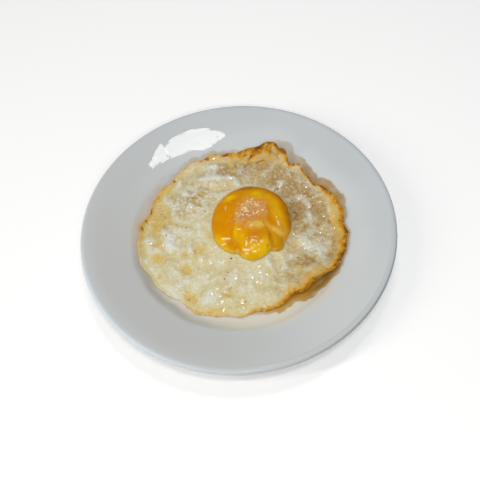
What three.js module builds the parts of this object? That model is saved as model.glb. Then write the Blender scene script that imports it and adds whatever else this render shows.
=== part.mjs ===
// A fried egg on its round side plate, in millimetres. +Z is up, and the origin is under the
// middle of the plate, on the surface that it stands on. Directions are in degrees,
// anticlockwise from +X seen from above.
import * as THREE from "three";

// The plate: a flat well floor, a short wall and a gentle rim with a rounded lip.
const PLATE_RADIUS = 90;
const PLATE_HEIGHT = 19;
const FLOOR_RADIUS = 54;
const FLOOR_Z = 6;
const WALL_RUN = 9;
const WALL_RISE = 4;
const RIM_START = 60;
const RIM_SOFTNESS = 2;
const LIP_RADIUS = 2.3;
const LIP_MIDDLE = PLATE_RADIUS - LIP_RADIUS;
const LIP_MIDDLE_Z = PLATE_HEIGHT - LIP_RADIUS;
const LIP_SWELL_START = 72;
const FOOT_INNER = 43;
const FOOT_OUTER = 46.5;
const FOOT_TOP = 1.4;
const BODY_THICKNESS = 3.4;
const PLATE_SECTORS = 72;

// The rim climbs straight from its start and meets the lip's round edge at a tangent.
const LIP_RUN = LIP_MIDDLE - RIM_START;
const LIP_RISE = LIP_MIDDLE_Z - FLOOR_Z - WALL_RISE;
const RIM_ANGLE =
  Math.atan2(LIP_RISE, LIP_RUN) + Math.asin(LIP_RADIUS / Math.hypot(LIP_RUN, LIP_RISE));
const RIM_SLOPE = Math.tan(RIM_ANGLE);

// The yolk: a flattened dome that leans over its white, with a swelling at the front.
const YOLK_X = 8.6;
const YOLK_Y = 6.2;
const YOLK_RADIUS = 23.3;
const YOLK_EDGE_Z = 11.4;
const YOLK_HEIGHT = 8.8;
const YOLK_FULLNESS = 2.7;
const YOLK_DEPTH = 3.2;
const YOLK_EDGE_TURNS = [
  { name: "left lobe", at: 215, spread: 22, reach: 1.0 },
  { name: "front swelling", at: 267, spread: 17, reach: 2.8 },
  { name: "left crease", at: 244, spread: 4.5, reach: -1.8 },
  { name: "right crease", at: 292, spread: 4.5, reach: -2.4 },
  { name: "right droop", at: 304, spread: 8, reach: 1.9 },
];
const CREASE_NARROWNESS = 5;
const SWELLING = { x: 7, y: -5.8, long: 12.5, wide: 11, rise: 1.9 };
const DROOP = { x: 20.5, y: -9.5, long: 7, wide: 5.5, rise: 0.9 };

// The white: a turned oval, its middle beside the yolk, with tongues and dents round it.
const WHITE_OVAL = { x: 2.4, y: 4.1, long: 59.2, wide: 54.9, turn: 16 };
const WHITE_EDGE_TURNS = [
  { name: "straight upper right", at: 35, spread: 19, reach: -7 },
  { name: "step beside the flap", at: 55, spread: 5, reach: -3 },
  { name: "flap", at: 73, spread: 9, reach: 2.6 },
  { name: "upper left bulge", at: 121, spread: 12, reach: 1.8 },
  { name: "upper left dent", at: 166, spread: 6, reach: -1.4 },
  { name: "left tongue", at: 191, spread: 16, reach: 2.3 },
  { name: "front left notch", at: 224, spread: 4, reach: -1.2 },
  { name: "front left lobe", at: 239, spread: 6, reach: 1.7 },
  { name: "straight front", at: 270, spread: 8, reach: -1 },
  { name: "bite by the curl", at: 289, spread: 7, reach: -2.2 },
  { name: "right belly", at: 328, spread: 18, reach: 4.4 },
];
const WHITE_EDGE_LIFTS = [
  { name: "right side", at: 8, spread: 30, lift: 2.4 },
  { name: "upper right", at: 52, spread: 27, lift: 4.8 },
  { name: "flap", at: 69, spread: 11, lift: 2.2 },
  { name: "curl", at: 309, spread: 19, lift: 6.6 },
];
const CRINKLES = [
  { waves: 17, phase: 40, reach: 0.35 },
  { waves: 29, phase: 130, reach: 0.3 },
];
const EDGE_THICKNESS = 1.3;
const BODY_OF_WHITE = 3.3;
const COLLAR_RISE = 1.7;
const COLLAR_SPREAD = 6;
const LIFT_STARTS = 0.5;
// Swells and hollows of the white's upper side: their middle, half sizes, turn and rise.
const WHITE_SWELLS = [
  { name: "left pillow", x: -39, y: -3, long: 8.5, wide: 4.5, turn: 115, rise: 1.1 },
  { name: "front left pillow", x: -39, y: -24, long: 9, wide: 7, turn: 130, rise: 0.9 },
  { name: "upper ridge", x: -12, y: 41, long: 17, wide: 4, turn: -8, rise: 1.5 },
  { name: "hollow below the ridge", x: -15, y: 33.5, long: 13, wide: 3.5, turn: -6, rise: -1.3 },
  { name: "upper pillow", x: -10, y: 51, long: 14, wide: 4.5, turn: -4, rise: 0.8 },
  { name: "right pillow", x: 45, y: 8, long: 9, wide: 6, turn: 100, rise: 0.9 },
  { name: "front right pillow", x: 40, y: -15, long: 10, wide: 6, turn: 140, rise: 1.2 },
  { name: "fold from the yolk", x: 19.5, y: -23, long: 9, wide: 2, turn: 108, rise: -1.3 },
  { name: "pillow by the fold", x: 24, y: -23.5, long: 7, wide: 3.5, turn: 105, rise: 1 },
  { name: "front pillow", x: -9, y: -26, long: 12, wide: 8, turn: 20, rise: 0.7 },
  { name: "front left hollow", x: -31, y: -20, long: 6, wide: 5, turn: 0, rise: -0.8 },
  { name: "hollow left of the yolk", x: -24, y: -9, long: 5, wide: 4, turn: 60, rise: -0.9 },
  { name: "front hollow", x: -9, y: -38, long: 9, wide: 4, turn: 170, rise: -0.7 },
  { name: "folded crust", x: 28, y: 52, long: 7, wide: 3, turn: -50, rise: 1.6 },
  { name: "pocket in the flap", x: 18, y: 51, long: 6, wide: 3, turn: 10, rise: -1 },
  { name: "curled crust", x: 33, y: -41, long: 9, wide: 2.5, turn: 35, rise: 1.4 },
];
const SWELLS_FADE = 0.92;

// How the two food solids are divided. They share their sectors, so the gap stays even.
const FOOD_SECTORS = 90;
const GAP = 0.35;
const YOLK_TOP_SHARES = [0.2, 0.4, 0.57, 0.71, 0.82, 0.9, 0.96, 1];
const YOLK_UNDER_SHARES = [0.55, 0.85, 1];
const COLLAR_SHARES = [0, 0.05, 0.14, 0.24, 0.34, 0.44, 0.54, 0.64, 0.73, 0.81, 0.88, 0.94, 0.98, 1];
const WHITE_UNDER_SHARES = [0.3, 0.5, 0.65, 0.76, 0.84, 0.9, 0.95, 1];

// 0 below 0, 1 above 1, and a smooth climb between them.
function smoothStep(t) {
  const s = Math.min(Math.max(t, 0), 1);
  return s * s * (3 - 2 * s);
}

// The signed turn from one direction to another, from -180 to 180 degrees.
function turnBetween(from, to) {
  return ((((to - from + 180) % 360) + 360) % 360) - 180;
}

// A bell curve about a direction.
function bell(direction, at, spread) {
  return Math.exp(-((turnBetween(at, direction) / spread) ** 2));
}

// The height that an oval swell adds at a point: full in its middle, almost none at its edge.
function swellAt(x, y, { x: middleX, y: middleY, long, wide, turn = 90, rise }) {
  const angle = THREE.MathUtils.degToRad(turn);
  const along = (x - middleX) * Math.cos(angle) + (y - middleY) * Math.sin(angle);
  const across = (y - middleY) * Math.cos(angle) - (x - middleX) * Math.sin(angle);
  return rise * Math.exp(-1.6 * ((along / long) ** 2 + (across / wide) ** 2));
}

// The plate's upper surface: the floor, plus a smooth wall, plus a rim that starts softly.
function plateTop(radius) {
  const wall = WALL_RISE * smoothStep((radius - FLOOR_RADIUS) / WALL_RUN);
  const past = radius - RIM_START;
  const rim = RIM_SLOPE * 0.5 * (past + Math.hypot(past, RIM_SOFTNESS));
  return FLOOR_Z + wall + rim;
}

// The yolk's edge about its own middle.
function yolkReach(direction) {
  return YOLK_EDGE_TURNS.reduce(
    (reach, turn) => reach + turn.reach * bell(direction, turn.at, turn.spread),
    YOLK_RADIUS,
  );
}

// Along a line from the yolk's middle, the distance to the white's turned oval.
function ovalReach(direction) {
  const turn = THREE.MathUtils.degToRad(WHITE_OVAL.turn);
  const angle = THREE.MathUtils.degToRad(direction) - turn;
  const offX = YOLK_X - WHITE_OVAL.x;
  const offY = YOLK_Y - WHITE_OVAL.y;
  const startX = (offX * Math.cos(turn) + offY * Math.sin(turn)) / WHITE_OVAL.long;
  const startY = (offY * Math.cos(turn) - offX * Math.sin(turn)) / WHITE_OVAL.wide;
  const stepX = Math.cos(angle) / WHITE_OVAL.long;
  const stepY = Math.sin(angle) / WHITE_OVAL.wide;
  const a = stepX ** 2 + stepY ** 2;
  const b = startX * stepX + startY * stepY;
  const c = startX ** 2 + startY ** 2 - 1;
  return (-b + Math.sqrt(b * b - a * c)) / a;
}

// The white's edge about the yolk's middle: the oval with its turns and a fine crinkle.
function whiteReach(direction) {
  let reach = ovalReach(direction);
  for (const turn of WHITE_EDGE_TURNS) {
    reach += turn.reach * bell(direction, turn.at, turn.spread);
  }
  for (const { waves, phase, reach: size } of CRINKLES) {
    reach += size * Math.sin(THREE.MathUtils.degToRad(waves * direction + phase));
  }
  return reach;
}

// How far the white's edge stands off the plate.
function edgeLift(direction) {
  return WHITE_EDGE_LIFTS.reduce(
    (lift, part) => lift + part.lift * bell(direction, part.at, part.spread),
    0,
  );
}

// The part of the way from the yolk's middle to its edge. The creases only bend it near the edge.
function yolkShare(direction, radius) {
  const reach = yolkReach(direction);
  const nearness = Math.min(radius / reach, 1) ** CREASE_NARROWNESS;
  return Math.min(radius / (YOLK_RADIUS + nearness * (reach - YOLK_RADIUS)), 1);
}

// The yolk's dome: steep at its edge and nearly flat on top, with the swelling and the droop.
function yolkTop(x, y, direction, radius) {
  const share = yolkShare(direction, radius);
  const dome = YOLK_HEIGHT * Math.sqrt(1 - share ** YOLK_FULLNESS);
  const fade = 1 - share ** 6;
  const swelling = (swellAt(x, y, SWELLING) + swellAt(x, y, DROOP)) * fade;
  return YOLK_EDGE_Z + dome + swelling;
}

// The yolk's underside: a shallow bowl.
function yolkUnder(x, y, direction, radius) {
  const share = yolkShare(direction, radius);
  return YOLK_EDGE_Z - YOLK_DEPTH * (1 - share ** 4);
}

// The white's underside: it lies on the plate, and its edge rises where it is lifted.
function whiteUnder(x, y, direction, radius) {
  const share = radius / whiteReach(direction);
  const ramp = smoothStep((share - LIFT_STARTS) / (1 - LIFT_STARTS));
  return plateTop(Math.hypot(x, y)) + GAP + edgeLift(direction) * ramp;
}

// The white's upper side: a socket under the yolk, a collar round it, then a body that thins out.
function whiteTop(x, y, direction, radius) {
  const yolkEdge = yolkReach(direction);
  if (radius <= yolkEdge + 1e-6) {
    return yolkUnder(x, y, direction, radius) - GAP;
  }
  const share = Math.min(radius / whiteReach(direction), 1);
  const body = EDGE_THICKNESS + (BODY_OF_WHITE - EDGE_THICKNESS) * (1 - share ** 4);
  const collar = COLLAR_RISE * Math.exp(-(((radius - yolkEdge) / COLLAR_SPREAD) ** 2));
  const swells = WHITE_SWELLS.reduce((sum, swell) => sum + swellAt(x, y, swell), 0);
  const fade = 1 - smoothStep((share - SWELLS_FADE) / (1 - SWELLS_FADE));
  return whiteUnder(x, y, direction, radius) + body + collar + swells * fade;
}

// One ring of a food solid: a radius in each direction.
function sharesOf(reach, shares) {
  return shares.map((share) => (direction) => share * reach(direction));
}

// Rings from just outside the yolk's edge to the white's edge.
function ringsRoundYolk(shares) {
  return shares.map((share) => (direction) => {
    const inner = yolkReach(direction) + GAP;
    return inner + share * (whiteReach(direction) - inner);
  });
}

// A closed solid about the yolk's middle: a middle point and rings above, a middle point and
// rings below, and a narrow wall that joins the two outer rings.
function foodSolid(topRings, topZ, underRings, underZ) {
  const positions = [];
  const faces = [];

  const addSide = (rings, heightAt) => {
    const first = positions.length / 3;
    positions.push(YOLK_X, YOLK_Y, heightAt(YOLK_X, YOLK_Y, 0, 0));
    for (const ring of rings) {
      for (let sector = 0; sector < FOOD_SECTORS; sector += 1) {
        const direction = (360 * sector) / FOOD_SECTORS;
        const angle = THREE.MathUtils.degToRad(direction);
        const radius = ring(direction);
        const x = YOLK_X + radius * Math.cos(angle);
        const y = YOLK_Y + radius * Math.sin(angle);
        positions.push(x, y, heightAt(x, y, direction, radius));
      }
    }
    return first;
  };

  const addFace = (a, b, c, up) => faces.push(...(up ? [a, b, c] : [a, c, b]));
  const joinRings = (inner, outer, up) => {
    for (let sector = 0; sector < FOOD_SECTORS; sector += 1) {
      const next = (sector + 1) % FOOD_SECTORS;
      addFace(inner + sector, outer + sector, outer + next, up);
      addFace(inner + sector, outer + next, inner + next, up);
    }
  };
  const coverSide = (middle, ringCount, up) => {
    for (let sector = 0; sector < FOOD_SECTORS; sector += 1) {
      addFace(middle, middle + 1 + sector, middle + 1 + ((sector + 1) % FOOD_SECTORS), up);
    }
    for (let ring = 1; ring < ringCount; ring += 1) {
      const outer = middle + 1 + ring * FOOD_SECTORS;
      joinRings(outer - FOOD_SECTORS, outer, up);
    }
    return middle + 1 + (ringCount - 1) * FOOD_SECTORS;
  };

  const top = addSide(topRings, topZ);
  const under = addSide(underRings, underZ);
  const topEdge = coverSide(top, topRings.length, true);
  const underEdge = coverSide(under, underRings.length, false);
  joinRings(topEdge, underEdge, true);

  const geometry = new THREE.BufferGeometry();
  geometry.setAttribute("position", new THREE.Float32BufferAttribute(positions, 3));
  geometry.setIndex(faces);
  geometry.computeVertexNormals();
  return geometry;
}

// The plate's thickness, measured straight down: even inside, and fuller towards the lip.
function plateThickness(radius) {
  const atLip = (2 * LIP_RADIUS) / Math.cos(RIM_ANGLE);
  const share = (radius - LIP_SWELL_START) / (PLATE_RADIUS - LIP_SWELL_START);
  return BODY_THICKNESS + (atLip - BODY_THICKNESS) * smoothStep(share);
}

// The plate's outline from the middle of its upper side, over the lip, to the middle below.
function plateProfile() {
  const points = [new THREE.Vector2(0, plateTop(0)), new THREE.Vector2(30, plateTop(30))];
  const wallSteps = 7;
  for (let step = 0; step <= wallSteps; step += 1) {
    const radius = FLOOR_RADIUS + (WALL_RUN * step) / wallSteps;
    points.push(new THREE.Vector2(radius, plateTop(radius)));
  }
  const rimSteps = 4;
  for (let step = 1; step < rimSteps; step += 1) {
    const start = FLOOR_RADIUS + WALL_RUN;
    const radius = start + ((LIP_MIDDLE - start) * step) / rimSteps;
    points.push(new THREE.Vector2(radius, plateTop(radius)));
  }
  const lipSteps = 7;
  for (let step = 0; step <= lipSteps; step += 1) {
    const turn = Math.PI / 2 + RIM_ANGLE - (Math.PI * step) / lipSteps;
    const radius = LIP_MIDDLE + LIP_RADIUS * Math.cos(turn);
    points.push(new THREE.Vector2(radius, LIP_MIDDLE_Z + LIP_RADIUS * Math.sin(turn)));
  }
  for (const radius of [84, 78, 72, 64, 59, 54, 50]) {
    points.push(new THREE.Vector2(radius, plateTop(radius) - plateThickness(radius)));
  }
  points.push(new THREE.Vector2(FOOT_OUTER + 0.6, FOOT_TOP));
  points.push(new THREE.Vector2(FOOT_OUTER, 0));
  points.push(new THREE.Vector2(FOOT_INNER, 0));
  points.push(new THREE.Vector2(FOOT_INNER - 0.8, FOOT_TOP));
  points.push(new THREE.Vector2(0, FOOT_TOP));
  return points;
}

function makePlate() {
  const geometry = new THREE.LatheGeometry(plateProfile().reverse(), PLATE_SECTORS);
  geometry.rotateX(Math.PI / 2);
  const glaze = new THREE.MeshStandardMaterial({ color: 0xd9dcdc, roughness: 0.12, metalness: 0 });
  const plate = new THREE.Mesh(geometry, glaze);
  plate.name = "plate";
  return plate;
}

function makeWhite() {
  const top = [...sharesOf(yolkReach, YOLK_UNDER_SHARES), ...ringsRoundYolk(COLLAR_SHARES)];
  const under = sharesOf(whiteReach, WHITE_UNDER_SHARES);
  const cooked = new THREE.MeshStandardMaterial({ color: 0xd8cba6, roughness: 0.4, metalness: 0 });
  const white = new THREE.Mesh(foodSolid(top, whiteTop, under, whiteUnder), cooked);
  white.name = "egg_white";
  return white;
}

function makeYolk() {
  const top = sharesOf(yolkReach, YOLK_TOP_SHARES);
  const under = sharesOf(yolkReach, YOLK_UNDER_SHARES);
  const glossy = new THREE.MeshStandardMaterial({ color: 0xe0930c, roughness: 0.25, metalness: 0 });
  const yolk = new THREE.Mesh(foodSolid(top, yolkTop, under, yolkUnder), glossy);
  yolk.name = "yolk";
  return yolk;
}

const friedEgg = new THREE.Group();
friedEgg.add(makePlate(), makeWhite(), makeYolk());

export default friedEgg;
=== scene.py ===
import math

import bpy
import numpy as np
from mathutils import Matrix, Vector


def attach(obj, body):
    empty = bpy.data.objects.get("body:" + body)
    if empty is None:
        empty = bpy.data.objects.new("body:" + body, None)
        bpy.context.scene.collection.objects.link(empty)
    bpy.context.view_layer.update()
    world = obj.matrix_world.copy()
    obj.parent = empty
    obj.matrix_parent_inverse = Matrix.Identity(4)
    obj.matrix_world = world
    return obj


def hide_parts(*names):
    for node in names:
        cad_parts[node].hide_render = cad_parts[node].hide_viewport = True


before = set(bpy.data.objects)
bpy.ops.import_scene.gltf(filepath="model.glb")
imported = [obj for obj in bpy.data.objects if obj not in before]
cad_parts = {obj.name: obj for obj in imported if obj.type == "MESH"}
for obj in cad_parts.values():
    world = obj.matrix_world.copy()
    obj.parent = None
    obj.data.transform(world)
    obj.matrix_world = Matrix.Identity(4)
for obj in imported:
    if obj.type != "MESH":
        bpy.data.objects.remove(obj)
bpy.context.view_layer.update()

# A fried egg on a white plate. Sizes are in millimetres, like the solids, and turn to metres
# where a mesh is made. Directions are in degrees, anticlockwise from +X seen from above.
mm = 0.001
print("frame loaded")


# Numbers over a surface. Each takes and gives whole arrays.

def smoothStep(t):
    # 0 below 0, 1 above 1, and 3 t^2 - 2 t^3 between them
    s = np.clip(t, 0, 1)
    return s * s * (3 - 2 * s)


def peak(gap, width):
    # e to the minus (gap / width)^2: 1 at no gap, and nearly 0 past two widths
    return np.exp(-((gap / width) ** 2))


def bell(direction, at, spread):
    # a peak by direction, whose gap is the short way round from `at`
    turn = (direction - at + 180) % 360 - 180
    return peak(turn, spread)


def along(direction, parts):
    # the sum of each named part's size times its bell about its own direction
    return sum(size * bell(direction, at, spread) for name, at, spread, size in parts)


def around(direction, points):
    # straight lines between pairs of a direction and its value, joined up after a full turn
    return np.interp(direction, *zip(*points), period=360)


def swells(x, y, parts):
    # the sum of rise times e to the -1.6 ((along / long)^2 + (across / wide)^2), over turned ovals
    total = np.zeros(np.shape(x))
    for name, middleX, middleY, long, wide, turn, rise in parts:
        angle = math.radians(turn)
        lengthways = (x - middleX) * math.cos(angle) + (y - middleY) * math.sin(angle)
        across = (y - middleY) * math.cos(angle) - (x - middleX) * math.sin(angle)
        total += rise * np.exp(-1.6 * ((lengthways / long) ** 2 + (across / wide) ** 2))
    return total


def strokes(x, y, lines):
    # the sum of rise times a peak of each line's width, whose gap is to the nearest point on the line
    total = np.zeros(np.shape(x))
    for name, wide, rise, points in lines:
        gap = np.full(np.shape(x), 1e6)
        for (x0, y0), (x1, y1) in zip(points, points[1:]):
            runX, runY = x1 - x0, y1 - y0
            share = np.clip(((x - x0) * runX + (y - y0) * runY) / (runX**2 + runY**2), 0, 1)
            gap = np.minimum(gap, np.hypot(x - x0 - share * runX, y - y0 - share * runY))
        total += rise * peak(gap, wide)
    return total


def scatter(column, row, seed):
    # a fixed random number from 0 to 1 for each lattice square, from whole products that wrap
    n = column.astype(np.int64) * 374761393 + row.astype(np.int64) * 668265263 + seed * 1442695041
    n = (n ^ (n >> 13)) * 1274126177
    n = n ^ (n >> 16)
    return (n & 0xFFFFFF) / 0xFFFFFF


def grain(x, y, size, seed):
    # slopes of random direction at the corners of a lattice, blended across each square: -1 to 1
    x, y = x / size, y / size
    column, row = np.floor(x), np.floor(y)
    across, up = smoothStep(x - column), smoothStep(y - row)

    def corner(stepX, stepY):
        # the height at the points of the slope that starts from one corner
        angle = 2 * np.pi * scatter(column + stepX, row + stepY, seed)
        return np.cos(angle) * (x - column - stepX) + np.sin(angle) * (y - row - stepY)

    low = corner(0, 0) * (1 - across) + corner(1, 0) * across
    high = corner(0, 1) * (1 - across) + corner(1, 1) * across
    return 1.5 * (low * (1 - up) + high * up)


def layers(x, y, size, seed, count=3):
    # grain added to itself at half the size and half the height each time, turned by 37 degrees
    total = np.zeros(np.shape(x))
    for layer in range(count):
        total += 0.5**layer * grain(x, y, size * 0.5**layer, seed + layer)
        x, y = 0.8 * x - 0.6 * y, 0.6 * x + 0.8 * y
    return total


def bent(x, y, push, size, seed, count=3):
    # the same points pushed about by layers, so that what is drawn on them has uneven edges
    return (x + push * layers(x, y, size, seed, count),
            y + push * layers(x, y, size, seed + 1, count))


def cells(x, y, size, seed):
    # one random point in each lattice square: the gap to the nearest, in squares, and a random
    # number from 0 to 1 that goes with it
    x, y = x / size, y / size
    near = np.full(np.shape(x), 9.0)
    mark = np.zeros(np.shape(x))
    for stepX in (-1, 0, 1):
        for stepY in (-1, 0, 1):
            column, row = np.floor(x) + stepX, np.floor(y) + stepY
            gap = np.hypot(x - column - 0.1 - 0.8 * scatter(column, row, seed),
                           y - row - 0.1 - 0.8 * scatter(column, row, seed + 7))
            closer = gap < near
            mark = np.where(closer, scatter(column, row, seed + 13), mark)
            near = np.where(closer, gap, near)
    return near, mark


def ringGrain(direction, size, seed, count=2):
    # layers read along a circle of 56 mm, so that they join up after a full turn
    angle = np.radians(direction)
    return layers(56 * np.cos(angle), 56 * np.sin(angle), size, seed, count)


# Meshes.

def normalsOf(grid):
    # the cross product of the step outwards and the step round, at each point of a grid of rings
    outward = np.gradient(grid, axis=0)
    onward = np.roll(grid, -1, axis=1) - np.roll(grid, 1, axis=1)
    normal = np.cross(outward, onward)
    return normal / np.maximum(np.linalg.norm(normal, axis=2, keepdims=True), 1e-9)


def closedSkin(name, grid, masks):
    # joins rings of points into one closed mesh, with its masks as attributes from 0 to 1; the
    # first ring and the last are one point each
    rings, sectors = grid.shape[:2]

    def flatten(values):
        # one row for each vertex: the first point, the inner rings and the last point
        inner = values[1:-1].reshape((rings - 2) * sectors, -1)
        return np.concatenate([values[:1, 0].reshape(1, -1), inner, values[-1:, 0].reshape(1, -1)])

    sector = np.arange(sectors)
    following = (sector + 1) % sectors
    first = 1 + np.arange(rings - 3)[:, None] * sectors
    quads = np.stack([first + sector, first + sectors + sector,
                      first + sectors + following, first + following], axis=-1).reshape(-1, 4)
    last = 1 + (rings - 3) * sectors
    end = (rings - 2) * sectors + 1
    start = np.stack([np.zeros(sectors, int), 1 + sector, 1 + following], axis=-1)
    finish = np.stack([np.full(sectors, end), last + following, last + sector], axis=-1)
    triangles = np.concatenate([start, finish])

    mesh = bpy.data.meshes.new(name)
    points = flatten(grid) * mm
    mesh.vertices.add(len(points))
    mesh.vertices.foreach_set("co", points.ravel())
    corners = np.concatenate([quads.ravel(), triangles.ravel()])
    mesh.loops.add(len(corners))
    mesh.loops.foreach_set("vertex_index", corners)
    starts = np.concatenate([np.arange(len(quads)) * 4,
                             len(quads) * 4 + np.arange(len(triangles)) * 3])
    mesh.polygons.add(len(starts))
    mesh.polygons.foreach_set("loop_start", starts)
    mesh.update(calc_edges=True)
    mesh.validate()
    mesh.shade_smooth()
    for mask, values in masks.items():
        layer = mesh.attributes.new(mask, "FLOAT", "POINT")
        layer.data.foreach_set("value", np.clip(flatten(values), 0, 1).ravel())
    piece = bpy.data.objects.new(name, mesh)
    bpy.context.collection.objects.link(piece)
    return piece


# Materials.

def tone(red, green, blue):
    # a colour as a screen shows it, 0 to 255, turned to the linear one that the shader takes
    shares = [value / 255 for value in (red, green, blue)]
    linear = [s / 12.92 if s <= 0.04045 else ((s + 0.055) / 1.055) ** 2.4 for s in shares]
    return (*linear, 1)


def inks(tones):
    # the same names with their tones made linear
    return {name: tone(*shown) for name, shown in tones.items()}


class Wire:
    # one output socket of a node, which adds Math nodes when it is put in a sum

    def __init__(self, tree, socket=None):
        self.tree, self.socket = tree, socket

    def node(self, kind, settings=None, sockets=None, output=0):
        # adds a node: its settings first, then the values or wires of its sockets
        made = self.tree.nodes.new(kind)
        for name, value in (settings or {}).items():
            if name == "stops":
                ramp = made.color_ramp.elements
                while len(ramp) < len(value):
                    ramp.new(0.5)
                for stop, (place, colour) in zip(ramp, value):
                    stop.position, stop.color = place, colour
            else:
                setattr(made, name, value)
        for name, value in (sockets or {}).items():
            if isinstance(value, Wire):
                self.tree.links.new(value.socket, made.inputs[name])
            else:
                made.inputs[name].default_value = value
        return Wire(self.tree, made.outputs[output] if made.outputs else None)

    def maths(self, operation, *terms):
        # a Math node on wires and numbers
        return self.node("ShaderNodeMath", {"operation": operation}, dict(enumerate(terms)))

    def __add__(self, other):
        return self.maths("ADD", self, other)

    def __sub__(self, other):
        return self.maths("SUBTRACT", self, other)

    def __rsub__(self, other):
        return self.maths("SUBTRACT", other, self)

    def __mul__(self, other):
        return self.maths("MULTIPLY", self, other)

    __radd__ = __add__
    __rmul__ = __mul__

    def orMore(self, least):
        # the larger of the wire and a number
        return self.maths("MAXIMUM", self, least)

    def between(self, low, high):
        # 0 where the wire is at or under low, 1 at or over high, and smooth between
        settings = {"interpolation_type": "SMOOTHSTEP"}
        return self.node("ShaderNodeMapRange", settings, {"Value": self, 1: low, 2: high})

    def mask(self, name):
        # a mask that closedSkin wrote on the mesh
        return self.node("ShaderNodeAttribute", {"attribute_name": name}, output=2)

    def noise(self, place, scale, detail=2.0, roughness=0.5):
        # scale is in lattice steps per metre
        return self.node("ShaderNodeTexNoise", {}, {"Vector": place, "Scale": scale,
                                                    "Detail": detail, "Roughness": roughness})

    def noises(self, place, table):
        # one noise for each name, with its scale, detail and roughness
        return {name: self.noise(place, *settings) for name, settings in table.items()}

    def blend(self, factor, first, second):
        # the first colour where the factor is 0, the second where it is 1
        sockets = {0: factor, 6: first, 7: second}
        return self.node("ShaderNodeMix", {"data_type": "RGBA"}, sockets, output=2)

    def tinted(self, base, tints):
        # a colour under each named mask in turn, times its strength
        for name, strength, colour in tints:
            base = self.blend(self.mask(name) * strength, base, tone(*colour))
        return base

    def bump(self, height, strength, distance, normal=None):
        # the normal of a height that is so many metres at 1, over another bump's where one is given
        sockets = {"Height": height, "Strength": strength, "Distance": distance}
        if normal:
            sockets["Normal"] = normal
        return self.node("ShaderNodeBump", {}, sockets)


def newMaterial(name):
    # an empty material, and a wire to start its nodes from
    material = bpy.data.materials.new(name)
    material.use_nodes = True
    material.node_tree.nodes.clear()
    return material, Wire(material.node_tree)


def finishMaterial(start, sockets):
    # the material's one shader, joined to its output
    shader = start.node("ShaderNodeBsdfPrincipled", {}, sockets)
    start.node("ShaderNodeOutputMaterial", {}, {"Surface": shader})


def placePiece(piece, material, replaced=None):
    # gives a piece its finish and its body, and hides the solid that it stands for
    piece.data.materials.append(material)
    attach(piece, "root")
    if replaced:
        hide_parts(replaced)


# The plate: a flat well, a short wall and a gentle rim with a thick round lip.

plate = {
    "radius": 90, "height": 19, "floorRadius": 54, "floorZ": 6, "wallRun": 9, "wallRise": 4,
    "rimStart": 60, "rimSoftness": 2, "lipRadius": 2.3, "lipSwellStart": 72, "thickness": 3.4,
    "foot": [(48.6, 2.25), (47.5, 1.6), (46.95, 0.8), (46.6, 0.15), (46.2, 0), (43.3, 0),
             (42.9, 0.15), (42.6, 0.8), (42, 1.25), (40.5, 1.4), (20, 1.4)],
    "sectors": 540,
}
lipMiddle = plate["radius"] - plate["lipRadius"]
lipMiddleZ = plate["height"] - plate["lipRadius"]
lipRun = lipMiddle - plate["rimStart"]
lipRise = lipMiddleZ - plate["floorZ"] - plate["wallRise"]
rimAngle = math.atan2(lipRise, lipRun) + math.asin(plate["lipRadius"] / math.hypot(lipRun, lipRise))


def plateTop(radius):
    # the floor, plus a smoothStep wall, plus a rim that starts softly: half (past + its hypotenuse)
    wall = plate["wallRise"] * smoothStep((radius - plate["floorRadius"]) / plate["wallRun"])
    past = radius - plate["rimStart"]
    rim = math.tan(rimAngle) * 0.5 * (past + np.hypot(past, plate["rimSoftness"]))
    return plate["floorZ"] + wall + rim


def plateProfile():
    # radius and height from the middle of the top, over the lip's half circle, to the foot
    lipStart = lipMiddle - plate["lipRadius"] * math.sin(rimAngle)
    upper = np.concatenate([np.linspace(0, 38, 12), np.linspace(39, 66, 44),
                            np.linspace(67, lipStart, 22)[:-1]])
    turn = np.pi / 2 + rimAngle - np.linspace(0, np.pi, 19)
    below = np.linspace(86, 50, 20)
    atLip = 2 * plate["lipRadius"] / math.cos(rimAngle)
    share = (below - plate["lipSwellStart"]) / (plate["radius"] - plate["lipSwellStart"])
    thickness = plate["thickness"] + (atLip - plate["thickness"]) * smoothStep(share)
    foot = np.array(plate["foot"])
    radius = np.concatenate([upper, lipMiddle + plate["lipRadius"] * np.cos(turn), below,
                             foot[:, 0], [0]])
    height = np.concatenate([plateTop(upper), lipMiddleZ + plate["lipRadius"] * np.sin(turn),
                             plateTop(below) - thickness, foot[:, 1], foot[-1:, 1]])
    return radius, height, len(upper)


# The egg's outlines about the yolk's middle. The white's is a turned oval with tongues and dents.
# A swell is a name, its middle, its half length and half width, its turn and its rise. A stroke is
# a name, its width, its rise and its points.

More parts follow.
